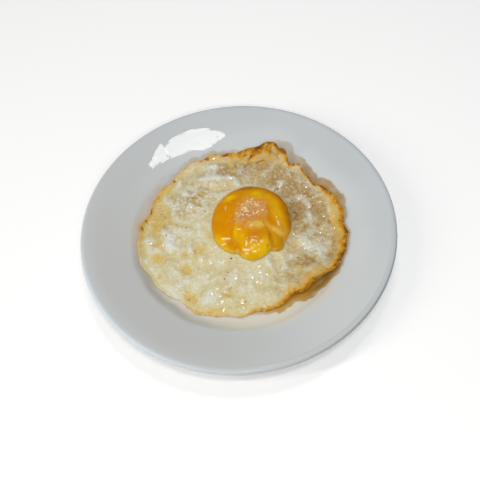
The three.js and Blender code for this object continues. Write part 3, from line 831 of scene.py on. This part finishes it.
whiteLook = {
    "noises": {"broad": (130, 3, 0.6), "medium": (420, 3, 0.6), "fine": (1500, 3, 0.6),
               "flecks": (1000, 2), "sparks": (900, 1), "lumps": (300, 1, 0.4)},
    "dropScale": 520, "dropBump": (1, 0.00005), "lumpBump": (0.3, 0.0006), "frothBump": (0.25, 0.0004),
    "browner": [("underside of the curl", 303, 16, 0.15)],
    "paler": [("left", 200, 60, 0.3), ("right", 350, 55, -0.2)],
    "tones": {
        "set": (208, 195, 148), "milky": (215, 206, 167), "tan": (160, 121, 52),
        "amber": (210, 178, 82), "froth": (158, 127, 78), "bubbles": (202, 173, 130),
        "cloudedFroth": (192, 171, 132), "pale": (219, 221, 208), "lightFlecks": (246, 242, 226),
        "darkFlecks": (172, 146, 96), "sparks": (250, 250, 244), "scorch": (130, 80, 18),
    },
    "crust": [(0, (212, 192, 134)), (0.25, (212, 171, 86)), (0.45, (200, 148, 46)),
              (0.6, (184, 125, 20)), (0.8, (150, 95, 10)), (1, (102, 56, 6))],
    "toastWide": [(0, 4), (10, 3.2), (25, 1.4), (45, 1.2), (60, 3), (75, 7), (90, 5), (105, 2.6),
                  (120, 1.4), (135, 1.4), (150, 3), (168, 4.5), (176, 4), (183, 2), (205, 1.2),
                  (222, 0.6), (232, 2.5), (240, 4), (255, 2.6), (270, 2.6), (283, 3.4),
                  (295, 4.2), (305, 5.5), (315, 4.2), (325, 3.2), (335, 3.2), (350, 3.6)],
    "toastDeep": [(0, 0.48), (10, 0.58), (25, 0.56), (45, 0.5), (60, 0.62), (75, 0.92), (90, 0.56),
                  (105, 0.5), (120, 0.24), (135, 0.2), (150, 0.32), (168, 0.36), (176, 0.3),
                  (183, 0.2), (190, 0.2), (205, 0.08), (222, 0.03), (232, 0.24), (240, 0.34),
                  (255, 0.26), (262, 0.3), (270, 0.54), (283, 0.5), (295, 0.74), (305, 0.7),
                  (315, 0.5), (325, 0.76), (335, 0.84), (350, 0.6)],
    "rind": [(0, 0.4), (20, 0.8), (45, 0.7), (60, 0.5), (75, 0.6), (90, 0.4), (104, 0.5), (120, 0.3),
             (140, 0.4), (163, 0.5), (176, 0.4), (186, 0.1), (225, 0), (245, 0.2), (265, 0.3),
             (285, 0.5), (305, 0.2), (320, 0.3), (335, 0.9), (352, 0.9)],
    "goldBand": [(0, 0.6), (10, 0.5), (25, 0.15), (45, 0.1), (60, 0.4), (75, 0.8), (90, 0.9),
                 (105, 0.5), (120, 0.3), (135, 0.6), (150, 1), (176, 1), (190, 0.6), (205, 0.1),
                 (215, 0.2), (232, 0.5), (240, 0.7), (255, 0.4), (270, 0.5), (283, 0.6), (295, 0.9),
                 (315, 0.8), (325, 0.3), (335, 0.2), (350, 0.4)],
    "tanBand": [(0, 0.3), (15, 0), (292, 0), (308, 0.7), (320, 1), (345, 1), (352, 0.6)],
    "tan": [
        ("upper right", 30, 36, 17, 14, -40, 1.1), ("top", 2, 47, 20, 10, 0, 1.5),
        ("right", 43, 10, 14, 24, 5, 1.6), ("lower right", 38, -24, 17, 14, 30, 1.0),
        ("upper left", -26, 30, 17, 14, 40, 1.0), ("left", -46, 12, 10, 20, 10, 0.7),
        # the shade of the yolk is the yolk's shadow, painted in tan
        ("front right", 22, -36, 12, 9, 10, 0.5), ("shade of the yolk", 32, 11, 6, 14, 0, 1.4),
        ("front", -6, -32, 16, 9, 0, 0.25), ("flap", 20, 53, 12, 7, -10, 1.0),
    ],
    "amber": [
        ("front left", -31.3, -19.4, 3.9, 4.6, 0, 1.3), ("by the hump", -24.2, -9.8, 5.2, 3.4, 70, 1.3),
        ("left of the hump", -31.2, -9.6, 2.6, 2.4, 0, 1.1),
        ("furrow", -29.6, -37.2, 7.5, 3.8, 130, 1.2),
        ("far front", -8.4, -38, 6.5, 2.6, 165, 1.0), ("olive", -47, -10.5, 5, 6.5, 20, 1.0),
        ("left gold", -48, 14, 5, 10, 25, 1.6), ("above it", -43.5, 27, 3.6, 8, 30, 1.5),
        ("upper left band", -37, 39, 3, 7, -45, 1.0), ("wrinkle by the edge", -44, -4, 7, 1.6, 130, 0.8),
        ("front gold", -16, -46, 6, 2.2, 0, 0.8), ("far front gold", -2, -46, 8, 2, 0, 0.5),
        ("tan furrow", -1, 50, 10, 3, 102, 0.8), ("below the ridge", -12, 34.6, 10, 2.2, -6, 0.9),
        ("left arm", -20, 31, 5, 1.8, -40, 0.7), ("left hollow", -22.7, 20.2, 3.6, 2.6, 70, 0.9),
        ("brown patch", -41.5, 17.2, 3.8, 2.8, 0, 1.2), ("ring", -33.5, 18.5, 3, 2.4, 0, 0.8),
        ("under the ring", -36, 10, 5, 2, -50, 0.6), ("right band", 57, 2, 3.4, 14, 5, 1.0),
        ("lower right", 42, -29, 9, 3.8, 40, 1.0), ("left cream", -45.5, 1.5, 4, 5, 20, 0.6),
        ("right spot", 32.2, -28, 2.8, 3.2, 0, 1.0),
        ("inner right", 30, -13, 2.4, 5, 20, 0.6), ("green spot", 15.2, -26.8, 1.8, 4, -20, 0.7),
        ("pocket", 17, 53, 6.5, 3.2, 8, 1.2), ("left of the pocket", 8, 53.5, 6, 3, 15, 0.9),
        ("left of the yolk", -16, 0, 1.8, 7, 10, 0.7), ("cheek", -17, 12, 2.4, 4, 0, 0.5),
        ("upper edge", -22, 51, 9, 2.6, 28, 0.6),
        ("bottom left edge", -45, -24, 2, 8, 35, 0.7), ("small front", -19, -17, 2, 1.6, 0, 0.5),
        ("small front", 0.4, -41, 3, 1.6, 0, 0.6), ("between the pillows", -36, 1, 5, 1.2, 140, 0.6),
        ("foot of the fold", 30, 47.5, 3.5, 3, 0, 1.0), ("right of the pillow", 54, -12, 3.4, 8, 0, 0.3),
        ("wash on the left", -32, 14, 15, 12, 40, 0.42), ("wash by the yolk", -20, -4, 5, 8, 0, 0.42),
    ],
    "froth": [
        ("upper right", 31, 34, 17, 9, -42, 1.3), ("behind the yolk", 20, 36, 14, 5, -10, 0.9),
        ("right", 37, 14, 6, 12, 10, 0.8), ("lower right", 44, -26, 9, 5, 40, 0.7),
        ("left of the yolk", -17, 17, 3.6, 4, 0, 0.7), ("left", -33, 19, 6, 6, 0, 0.7),
        ("flap", 26, 51, 8, 6, -40, 0.5), ("pocket", 18.3, 53.6, 4, 2, 5, 1.0),
        ("fold", 27, 54.5, 2.2, 4.5, 15, 1.0), ("below the swelling", 27, -10, 4, 6, 10, 0.5),
        ("front right", 28, -24, 10, 8, 20, 0.4),
    ],
    "curd": [
        ("upper left", -24, 24, 19, 15, 30, 1.2), ("ridge", -10, 40, 18, 6, 0, 0.8),
        ("left", -36, 2, 10, 12, 0, 0.8), ("right", 40, -8, 8, 20, 10, 0.5),
        ("front right", 16, -26, 12, 9, 0, 0.4),
    ],
    # pale is opaque white where the white is thick, with a painted bluish sheen on the lumps
    "pale": [
        ("left pillow", -41.5, 5, 7, 2.6, 125, 1.2), ("second", -40, -2.2, 6, 2.2, 150, 1.0),
        ("ridge", -12, 42, 15, 2.4, -4, 1.2), ("ridge's end", 2, 36.5, 5.5, 2.0, -60, 1.2),
        ("top", -13, 50.6, 8, 3.4, -4, 0.7), ("beside it", 6, 45, 4, 4.5, 30, 0.6),
        ("front left", -41, -31, 8, 3.6, 130, 0.6), ("spot", -32, -27, 3.6, 1.8, 30, 1.0),
        ("front", -19.6, -40, 7, 3.2, 20, 0.75), ("right pillow", 45.8, -17.6, 8.5, 3, 95, 1.3),
        ("inner right", 39, -13.4, 5, 3.4, 120, 1.3), ("beside the droop", 41, -4, 4.5, 3, 20, 0.8),
        ("by the fold", 24, -22, 6, 2.6, 105, 0.7), ("left of the fold", 15, -21, 6.5, 2.0, 110, 0.8),
        ("hump", -28.4, -6.4, 4, 1.6, 100, 1.1),
        ("lobe", -32.7, 41, 2.8, 1.8, 50, 1.0), ("lump", -28.5, 31.5, 4.2, 2.2, 0, 1.1),
        ("small lump", -27, 23, 2.4, 1.6, 60, 1.0), ("ring's bottom", -32, 12.6, 5, 1.4, -20, 0.7),
        ("right of the yolk", 37.5, 20, 4, 2.2, 0, 0.6), ("far right", 42.6, 7, 2.8, 8, 0, 0.6),
        # the shade of the yolk takes the pale out of the yolk's painted shadow
        ("shade of the yolk", 34.5, 4.5, 4, 7, 0, -0.9),
        ("right edge", 55, 9.6, 2.2, 2.2, 0, 1.0), ("upper right", 45.5, 29, 5, 1.8, -45, 0.9),
        ("front middle", 5, -28, 7, 4, 10, 0.5), ("low ridge", 20, -35.5, 5, 1.6, -30, 0.8),
        ("by the lobe", -20, -2, 5, 1.2, -35, 0.7), ("front left edge", -38, -36, 6, 2.4, 128, 0.4),
    ],
    "bare": [
        ("pocket", 18.3, 53.6, 4.4, 2.2, 5, 1.2), ("fold", 27, 54.5, 1.6, 4.2, 15, 1.0),
        ("top of the fold", 22.5, 57.5, 2, 2, 0, 0.4), ("by the step", 31, 49, 2, 3, 30, 0.4),
    ],
    "scorch": [
        ("beside the yolk", 25.5, 28.5, 2.6, 1.2, -30, 0.9),
        ("dash behind it", 33, 31, 1.4, 0.7, -30, 0.6),
        ("right of the yolk", 34.5, 17.2, 2, 0.9, 20, 0.8),
        ("in the froth", 40, 23.2, 2.2, 1.4, -20, 0.55),
        ("lower right of the yolk", 34.8, 9.8, 2.2, 1.6, 0, 0.55),
        ("by the droop", 30.5, -3, 1.8, 3, 0, 0.4),
        ("brown on the left", -41.8, 17, 2.6, 1.8, 0, 0.55),
        # the shade of the yolk and the one above it are the yolk's shadow, painted in scorch brown
        ("shade of the yolk", 33.5, 5, 3.2, 6, 0, 0.5), ("above it", 31.5, 14, 2.4, 4, 30, 0.5),
        ("on the ring", -33, 17.7, 2.2, 1.6, 0, 0.35),
        ("pocket's left", 12.6, 55.6, 2.8, 1.2, 30, 0.9),
        ("pocket's front", 18.6, 50.2, 4.4, 1.0, 8, 0.9),
        ("pocket's top", 18.8, 59, 4.5, 1.0, 0, 0.7), ("fold's left", 25.4, 55, 0.9, 4, -12, 0.8),
        ("fold's right", 32.4, 52.2, 1.3, 4.5, 30, 1.1),
        ("fold's crest", 23.2, 58.2, 0.9, 3, -30, 0.8), ("left ridge", 9.5, 56.6, 3.6, 0.9, 22, 0.8),
        ("second left ridge", 11, 53, 4, 0.7, 15, 0.6),
        ("right of the fold", 29.2, 56.2, 0.8, 2.6, 20, 0.7),
        ("curl's hollow", 31, -40, 4, 1.0, 30, 0.4), ("knob", 38, 43.6, 1.8, 1.0, -30, 0.6),
        ("left tip", -56, 11.4, 1.4, 2.2, 0, 0.9), ("left dash", -53.6, 15.8, 1.0, 3.5, 25, 0.7),
        ("nick on the left", -50.4, 24, 1.2, 2.8, 25, 0.8),
        ("upper left knob", -35.6, 43.6, 2, 1.6, 40, 1.0), ("top knob", -14.6, 57.6, 2.4, 1.0, 0, 1.0),
        ("orange knob", -2, 58, 3.4, 1.8, 0, 0.6), ("front knob", -16, -48.4, 2.4, 1.0, 0, 0.4),
        ("second front knob", -8, -47.4, 2, 1.0, 0, 0.35),
        ("front left knob", -31.7, -42.6, 2, 1.2, -40, 0.4), ("left knob", -56, -8.3, 1, 1.6, 0, 0.3),
    ],
}


def whiteUnderZ(x, y, direction, share):
    # the plate's height, a hair's gap, and the edge's lift eased in over the outer part
    ramp = smoothStep((share - white["liftStarts"]) / (1 - white["liftStarts"]))
    frill = 1 + 0.35 * ringGrain(direction, 9, 22)
    lift = along(direction, white["lifts"]) * frill
    return plateTop(np.hypot(x, y)) + white["contactGap"] + lift * ramp


def whiteThickness(direction, radius, share):
    # thin at the edge, fuller inside by (1 - share^4), and a collar against the yolk
    body = white["edgeThickness"] + (white["bodyThickness"] - white["edgeThickness"]) * (1 - share**4)
    collar = peak(radius - yolkReach(direction), white["collarSpread"])
    return body + white["collarRise"] * collar


def whiteRelief(x, y, froth, curd):
    # swells and folds, mounds (1 - 1.7 gap^2) over two sizes of cell, slow lumps, and bubbles as
    # small domes of height root(1 - gap^2); with the height come the forms that the finish follows
    bentX, bentY = bent(x, y, 1.1, 6, 31, 2)
    lumps = layers(bentX, bentY, 8, 33)
    large = np.clip(1 - 1.7 * cells(bentX, bentY, 6.2, 35)[0] ** 2, 0, 1)
    small = np.clip(1 - 1.7 * cells(bentX, bentY, 3.0, 38)[0] ** 2, 0, 1)
    near, mark = cells(bentX, bentY, 2.3, 41)
    blisters = np.sqrt(np.clip(1 - (near / (0.28 + 0.25 * mark)) ** 2, 0, 1)) * (mark > 0.72)
    near, mark = cells(bentX, bentY, 1.3, 42)
    tiny = np.sqrt(np.clip(1 - (near / 0.48) ** 2, 0, 1)) * (mark > 0.3)
    pits = peak(near, 0.24) * (mark < 0.06)
    height = swells(bentX, bentY, white["swells"]) + strokes(bentX, bentY, white["folds"])
    height += 0.45 * lumps + (0.4 + 0.45 * curd) * large + (0.06 + 0.55 * curd) * small
    height += 0.25 * blisters * (1 - froth) + (0.03 + 0.3 * froth) * tiny - 0.4 * pits
    height += (0.07 + 0.16 * froth) * layers(x, y, 2.4, 43, 2)
    mound = 0.5 * large * (1 - 0.6 * curd) + 0.8 * curd * small + 0.5 * lumps
    return height - 0.35, {"mound": mound, "blisters": blisters, "tiny": tiny, "froth": froth}


def whiteGrid():
    # under: points of the underside; bend rings follow the running sums of cos and sin of the
    # bend's angle, scaled so that the furthest one is at the edge's reach
    direction = np.arange(white["sectors"]) * 360 / white["sectors"]
    reach, yolkEdge = whiteReach(direction), yolkReach(direction)
    bend = white["plainBend"] + along(direction, white["bendLength"])
    turn = np.radians(white["plainAngle"] + along(direction, white["bendAngle"])
                      * (1 + 0.22 * ringGrain(direction, 8, 23, 1)))
    steps = white["bendRings"]
    angles = turn * (((np.arange(steps) + 0.5) / steps) ** 1.2)[:, None]
    run, rise = np.cumsum(np.cos(angles), axis=0), np.cumsum(np.sin(angles), axis=0)
    scale = bend / run.max(axis=0)

    start = yolkEdge - white["socketInset"]
    socket = np.array(white["socketShares"])[:, None] * start
    body = start + np.linspace(0, 1, white["bodyRings"])[:, None] * (reach - bend - start)
    outer = (np.arange(steps) + 1)[:, None] / steps
    flat = np.concatenate([socket, body, reach - bend + outer * bend])
    radius = np.concatenate([socket, body, reach - bend + run * scale])
    raised = np.concatenate([0 * socket, 0 * body, rise * scale])
    x, y = offYolk(direction, radius)
    z = whiteUnderZ(x, y, direction, radius / reach) + raised
    return direction, reach, flat, np.stack([x, y, z], axis=-1)


def whiteMasks(x, y, direction, inward, below, forms):
    # browning by direction and distance in from the edge, and spots by swells; mounds are paler,
    # with a painted bluish sheen, and less tan than the hollows between them; the shade of the yolk
    # is its shadow, painted in tan and scorch; and `below` is 1 on the underside
    bentX, bentY = bent(x, y, 1.1, 4, 51)
    spots = {name: swells(bentX, bentY, whiteLook[name]) for name in ("bare", "scorch", "amber", "pale")}
    at = {name: around(direction, whiteLook[name])
          for name in ("toastWide", "toastDeep", "rind", "goldBand", "tanBand")}
    mound = forms["mound"]

    patchy = np.clip(1 + 0.5 * layers(x, y, 4, 53) + 0.3 * layers(x, y, 1.5, 59, 2), 0, 2)
    toast = at["toastDeep"] * np.exp(-((inward / at["toastWide"]) ** 1.3)) * patchy
    toast *= 1 - np.clip(spots["bare"], 0, 0.85)
    browned = 0.34 + 0.22 * layers(x, y, 6, 54) + along(direction, whiteLook["browner"])
    toast = np.maximum(toast, below * browned * (1 - peak(inward, 1.5)))
    rind = at["rind"] * peak(inward, 0.9)

    amber = spots["amber"] * (0.95 + 0.2 * layers(x, y, 5, 56))
    band = at["goldBand"] * peak(inward, 5)
    amber = smoothStep((amber - 0.15) / 0.75) + band * (0.75 + 0.7 * layers(x, y, 4, 58))
    broad = swells(x, y, whiteLook["tan"])
    tan = broad * (1 - 0.6 * mound) + 0.25 * smoothStep(0.3 - 1.4 * mound)
    tan += 0.25 * layers(x, y, 3, 57) * broad + at["tanBand"] * peak(inward - 5, 3.6)
    pale = spots["pale"] + 0.5 * smoothStep((mound - 0.35) / 0.5) + 0.3 * forms["blisters"]
    pale *= 1 + along(direction, whiteLook["paler"])
    pale *= (1 - 0.4 * np.clip(amber, 0, 1)) * (1 - 0.6 * at["tanBand"] * peak(inward, 6))
    return {
        "toast": toast, "scorch": spots["scorch"] + rind * (0.6 + 0.9 * layers(x, y, 3, 55)),
        "amber": amber * (1 - below), "tan": tan, "pale": pale * (1 - below),
        "froth": forms["froth"] * (1 - below), "tiny": forms["tiny"],
    }


def makeEggWhite():
    # top = underside + thickness along its normal + relief along the new one; the rings then run
    # from the middle of the top, over the rim's half circle, and back underneath
    direction, reach, flat, under = whiteGrid()
    x, y = offYolk(direction, flat)
    share = np.minimum(flat / reach, 1)
    thickness = whiteThickness(direction, flat, share)
    top = under + normalsOf(under) * thickness[..., None]
    froth = np.clip(swells(x, y, whiteLook["froth"]), 0, 1)
    froth = froth * smoothStep(0.65 + 1.1 * layers(x, y, 5, 44))
    curd = np.clip(swells(x, y, whiteLook["curd"]), 0, 1)
    relief, forms = whiteRelief(x, y, froth, curd)
    edge = reach - flat
    calm = 0.25 + 0.75 * smoothStep((edge - 0.3) / 3.5)
    inner = smoothStep((flat - yolkReach(direction)) / 1.5)
    relief = np.maximum(relief * calm * inner, 0.35 - thickness)
    top = top + normalsOf(top) * relief[..., None]
    inSocket = slice(len(white["socketShares"]))
    top[inSocket, :, 2] = yolkUnder(direction, flat[inSocket]) - white["socketGap"]

    middle, half = (top[-1] + under[-1]) / 2, (top[-1] - under[-1]) / 2
    outward = under[-1] - under[-2]
    outward /= np.linalg.norm(outward, axis=1, keepdims=True)
    reachOut = outward * np.linalg.norm(half, axis=1, keepdims=True)
    rim = [middle + half * math.cos(turn) + reachOut * math.sin(turn)
           for turn in np.radians(white["rimTurns"])]

    # the underside needs fewer rings: each second one in the bend, and each seventh inside it
    rings, bendRings = len(flat), white["bendRings"]
    back = np.concatenate([np.arange(rings - 1, rings - bendRings, -2),
                           np.arange(rings - bendRings - 1, 0, -7)])
    grid = np.concatenate([top, np.array(rim), under[back], under[:1]])
    grid[0] = grid[1].mean(axis=0)
    grid[-1] = under[0, 0]

    # each ring of the closed mesh takes its masks from the ring of the top that it lies beside
    source = np.concatenate([np.arange(rings), np.full(len(rim), rings - 1), back, [0]])
    below = 1.0 * (np.arange(len(source)) >= rings + len(rim) // 2)[:, None]
    below = below * np.ones(flat.shape[1])
    forms = {name: values[source] for name, values in forms.items()}
    masks = whiteMasks(x[source], y[source], direction, edge[source], below, forms)
    return closedSkin("eggWhite", grid, masks), top


def makeCookedWhite():
    # moist set white: milky lumps, amber where it is thin, a pinkish froth and a browned crust, with
    # a painted bluish sheen on the lumps and painted sparkles
    material, start = newMaterial("cookedWhite")
    place = start.node("ShaderNodeTexCoord", output=3)
    ink = inks(whiteLook["tones"])
    noise = start.noises(place, whiteLook["noises"])
    broad, medium, fine = noise["broad"], noise["medium"], noise["fine"]
    toasted = start.mask("toast")
    base = start.blend(broad.between(0.35, 0.65), ink["set"], ink["milky"])
    patch = medium.between(0.35, 0.65)
    base = start.blend(start.mask("tan") * (0.65 + patch * 0.35), base, ink["tan"])
    base = start.blend(start.mask("amber") * (0.7 + patch * 0.2), base, ink["amber"])
    frothy = start.blend(start.mask("tiny"), ink["froth"], ink["bubbles"])
    frothy = start.blend(patch * 0.5, frothy, ink["cloudedFroth"])
    base = start.blend(start.mask("froth") * 0.8, base, frothy)
    base = start.blend(start.mask("pale") * 0.9, base, ink["pale"])
    base = start.blend(noise["flecks"].between(0.55, 0.75) * 0.24, base, ink["lightFlecks"])
    base = start.blend(noise["flecks"].between(0.48, 0.3) * 0.24, base, ink["darkFlecks"])
    moist = (1 - toasted * 2).orMore(0)
    # painted sparkles: small bright dots where the lamps would glint on the moist white
    sparks = noise["sparks"].between(0.66, 0.72) * moist
    sparks = sparks * (broad.between(0.48, 0.62) * 0.7 + start.mask("pale") * 0.3)
    base = start.blend(sparks * 0.8, base, ink["sparks"])
    toast = toasted * (1 + (fine - 0.5) * 0.8 + (medium - 0.5) * 0.8)
    stops = [(share, tone(*shown)) for share, shown in whiteLook["crust"]]
    crust = start.node("ShaderNodeValToRGB", {"stops": stops}, {"Fac": toast})
    base = start.blend(toast.between(0, 0.45), base, crust)
    # scorch: browned spots and the rind, and the yolk's painted shadow beside it
    scorch = start.mask("scorch") + (medium - 0.5) * 0.5
    base = start.blend(scorch.between(0.25, 0.85) * 0.8, base, ink["scorch"])
    rough = 0.36 + toasted * 0.1 + medium * 0.16 - start.mask("pale") * 0.08

    # drops of fat: a dome of height (1 - 4 gap^2) at each random point, and some of them are wet
    drop = {"Vector": place, "Scale": whiteLook["dropScale"]}
    gap = start.node("ShaderNodeTexVoronoi", {}, drop)
    wet = start.node("ShaderNodeTexVoronoi", {}, drop, output=1).between(0.64, 0.68)
    drops = (1 - gap * gap * 4).orMore(0) * (0.5 + wet * 0.5)
    normal = start.bump(drops, *whiteLook["dropBump"])
    normal = start.bump(noise["lumps"], *whiteLook["lumpBump"], normal)
    frothy = fine * start.mask("froth") * (1 - wet)
    normal = start.bump(frothy, *whiteLook["frothBump"], normal)
    wet = wet * (0.5 + start.mask("pale") * 0.5) * moist
    finishMaterial(start, {
        "Base Color": base, "Roughness": rough, "Normal": normal, "IOR": 1.4,
        "Specular IOR Level": 0.15, "Subsurface Weight": 0.12, "Subsurface Radius": (1.0, 0.7, 0.35),
        "Subsurface Scale": 0.0012, "Coat Weight": wet, "Coat Roughness": 0.1, "Coat IOR": 1.7,
    })
    return material


eggWhite, whiteTop = makeEggWhite()
placePiece(eggWhite, makeCookedWhite(), "egg_white")
print("white made")


# Small burnt specks that lie on the white.

burnt = {
    "places": [
        (-41.7, 3.8, 0.5), (-29.8, 7.9, 0.5), (6.3, 44.5, 0.55), (-5.5, -16.5, 0.7), (-10, -28.7, 0.5),
        (-30.8, -38.6, 0.5), (32.2, -20.4, 0.6), (24.4, 26.5, 0.6), (-8.2, -24.7, 0.35),
        (-18, 17.2, 0.4), (-44, 20.5, 0.45), (36.5, -3, 0.4), (14, 40, 0.35), (-22.5, 28.4, 0.4),
        (0.5, -43, 0.4), (47, -30, 0.4), (38.5, 31, 0.4), (-36, -14, 0.3), (22.2, -31, 0.35),
    ],
    "rings": 7, "sectors": 12, "shape": (1, 0.8, 0.5), "unevenness": 0.3,
    "noise": (1800, 3), "bump": (0.5, 0.0003), "tones": {"char": (96, 66, 38), "ember": (134, 98, 54)},
}


def makeBurntSpecks():
    # each speck is a squashed ball, its radius times (1 + unevenness grain), that sits at the
    # nearest point of the white's top, outside the socket
    latitude = np.linspace(0, np.pi, burnt["rings"])[:, None]
    longitude = np.arange(burnt["sectors"]) * 2 * np.pi / burnt["sectors"]
    unit = np.stack([np.sin(latitude) * np.cos(longitude), np.sin(latitude) * np.sin(longitude),
                     np.cos(latitude) * np.ones(burnt["sectors"])], axis=-1)
    surface = whiteTop[len(white["socketShares"]) + 1:].reshape(-1, 3)
    specks = []
    for number, (x, y, size) in enumerate(burnt["places"]):
        middle = surface[np.argmin(np.hypot(surface[:, 0] - x, surface[:, 1] - y))]
        across, upright = 2 * unit[..., 0] + 9 * number, 2 * unit[..., 1] + unit[..., 2]
        uneven = 1 + burnt["unevenness"] * grain(across, upright, 1, 61)
        ball = unit * uneven[..., None] * size * np.array(burnt["shape"])
        speck = closedSkin("speck", ball + middle, {})
        speck.select_set(True)
        specks.append(speck)
    bpy.context.view_layer.objects.active = specks[0]
    bpy.ops.object.join()
    specks[0].name = "burntSpecks"
    specks[0].select_set(False)
    return specks[0]


def makeChar():
    # dark brown char with a rough, slightly greasy face
    material, start = newMaterial("char")
    place = start.node("ShaderNodeTexCoord", output=3)
    ink = inks(burnt["tones"])
    patch = start.noise(place, *burnt["noise"])
    base = start.blend(patch.between(0.4, 0.65), ink["char"], ink["ember"])
    normal = start.bump(patch, *burnt["bump"])
    finishMaterial(start, {"Base Color": base, "Roughness": 0.4 + patch * 0.2, "Normal": normal})
    return material


placePiece(makeBurntSpecks(), makeChar())
print("specks made")


# The stage: a pale floor, soft daylight all round, a long lamp on the left, one in front, and two
# above. Four small panes are there for their reflections, which make the bright patch on the rim.

stage = {
    "floorSize": 24000, "floorTone": tone(246, 246, 246), "floorGlow": 0.13,
    "horizon": (0.295, 0.305, 0.315, 1), "zenith": (0.315, 0.325, 0.335, 1),
    "backdrop": (0.80, 0.81, 0.82, 1),
}
paneTone = (1.0, 0.99, 0.95)
lamps = [  # name, middle, long and short side, power, tone, and the way that the long side runs
    ("keyLamp", (-926, -248, 722), (700, 50), 3.5, (1.0, 0.96, 0.9), (0, 0, 1)),
    ("frontLamp", (60, -620, 730), (300, 40), 1.85, (1.0, 0.98, 0.95), (1, 0, 0)),
    ("ceilingLamp", (20, -310, 950), (200, 90), 2.1, (1.0, 1.0, 0.98), (1, 0, 0)),
    ("backLamp", (0, 310, 960), (80, 60), 0.45, (1.0, 1.0, 0.98), (1, 0, 0)),
    ("middlePane", (72, 131.3, 700), (110, 26), 0.34, paneTone, (159, 82, 0)),
    ("innerPane", (129.5, 172.5, 700), (30, 20), 0.07, paneTone, (25, 16, 0)),
    ("tipPane", (151, 190, 700), (24, 11), 0.031, paneTone, (23, 19, 0)),
    ("rightPane", (12.3, 110.5, 700), (15, 11), 0.02, paneTone, (159, 82, 0)),
]
view = {
    "aim": (0.65, -9.52, 18), "distance": 450, "elevation": 57.97, "roll": -5.96,
    "lens": 60, "sensor": 36,
}


def turnedFrame(right, up, back, place):
    # a matrix whose columns are the three directions and the place
    columns = [right, up, back, place]
    return Matrix([[*(column[row] for column in columns)] for row in range(3)] + [[0, 0, 0, 1]])


def addLamp(name, middle, sides, power, colour, longWay):
    # an area lamp that faces the egg, its long side as near its given way as that lets it
    data = bpy.data.lights.new(name, "AREA")
    data.shape = "RECTANGLE"
    data.size, data.size_y = sides[0] * mm, sides[1] * mm
    data.energy, data.color = power, colour
    place = Vector(middle) * mm
    back = place.normalized()
    right = Vector(longWay)
    right = (right - back * right.dot(back)).normalized()
    item = bpy.data.objects.new(name, data)
    item.matrix_world = turnedFrame(right, back.cross(right), back, place)
    item.visible_camera = False
    bpy.context.collection.objects.link(item)


def addCamera():
    # back from the aim along the line of sight, with the frame rolled about that line
    elevation, roll = math.radians(view["elevation"]), math.radians(view["roll"])
    sight = Vector((0, math.cos(elevation), -math.sin(elevation)))
    right, up = Vector((1, 0, 0)), Vector((0, math.sin(elevation), math.cos(elevation)))
    data = bpy.data.cameras.new("camera")
    data.lens, data.sensor_width = view["lens"], view["sensor"]
    place = (Vector(view["aim"]) - sight * view["distance"]) * mm
    item = bpy.data.objects.new("camera", data)
    item.matrix_world = turnedFrame(right * math.cos(roll) + up * math.sin(roll),
                                    up * math.cos(roll) - right * math.sin(roll), -sight, place)
    bpy.context.collection.objects.link(item)
    bpy.context.scene.camera = item


def addFloor():
    # one pale square under the plate, a little brighter than its light alone makes it
    half = stage["floorSize"] / 2 * mm
    mesh = bpy.data.meshes.new("floor")
    mesh.from_pydata([(-half, -half, 0), (half, -half, 0), (half, half, 0), (-half, half, 0)],
                     [], [(0, 1, 2, 3)])
    floor = bpy.data.objects.new("floor", mesh)
    bpy.context.collection.objects.link(floor)
    material, start = newMaterial("paleFloor")
    finishMaterial(start, {"Base Color": stage["floorTone"], "Roughness": 0.9,
                           "Specular IOR Level": 0.0, "Emission Color": (1, 1, 1, 1),
                           "Emission Strength": stage["floorGlow"]})
    mesh.materials.append(material)


def addDaylight():
    # soft light from all round, brightest overhead, before a paler backdrop
    world = bpy.data.worlds.new("daylight")
    world.use_nodes = True
    start = Wire(world.node_tree)
    world.node_tree.nodes.clear()
    direction = start.node("ShaderNodeTexCoord", output=0)
    height = start.node("ShaderNodeSeparateXYZ", {}, {"Vector": direction}, output=2)
    sky = start.blend(height.between(0, 1), stage["horizon"], stage["zenith"])
    seen = start.node("ShaderNodeLightPath")
    sky = start.blend(seen, sky, stage["backdrop"])
    light = start.node("ShaderNodeBackground", {}, {"Color": sky})
    start.node("ShaderNodeOutputWorld", {}, {"Surface": light})
    bpy.context.scene.world = world
    bpy.context.scene.view_settings.view_transform = "Standard"


addFloor()
addDaylight()
for lamp in lamps:
    addLamp(*lamp)
addCamera()
print("stage set")
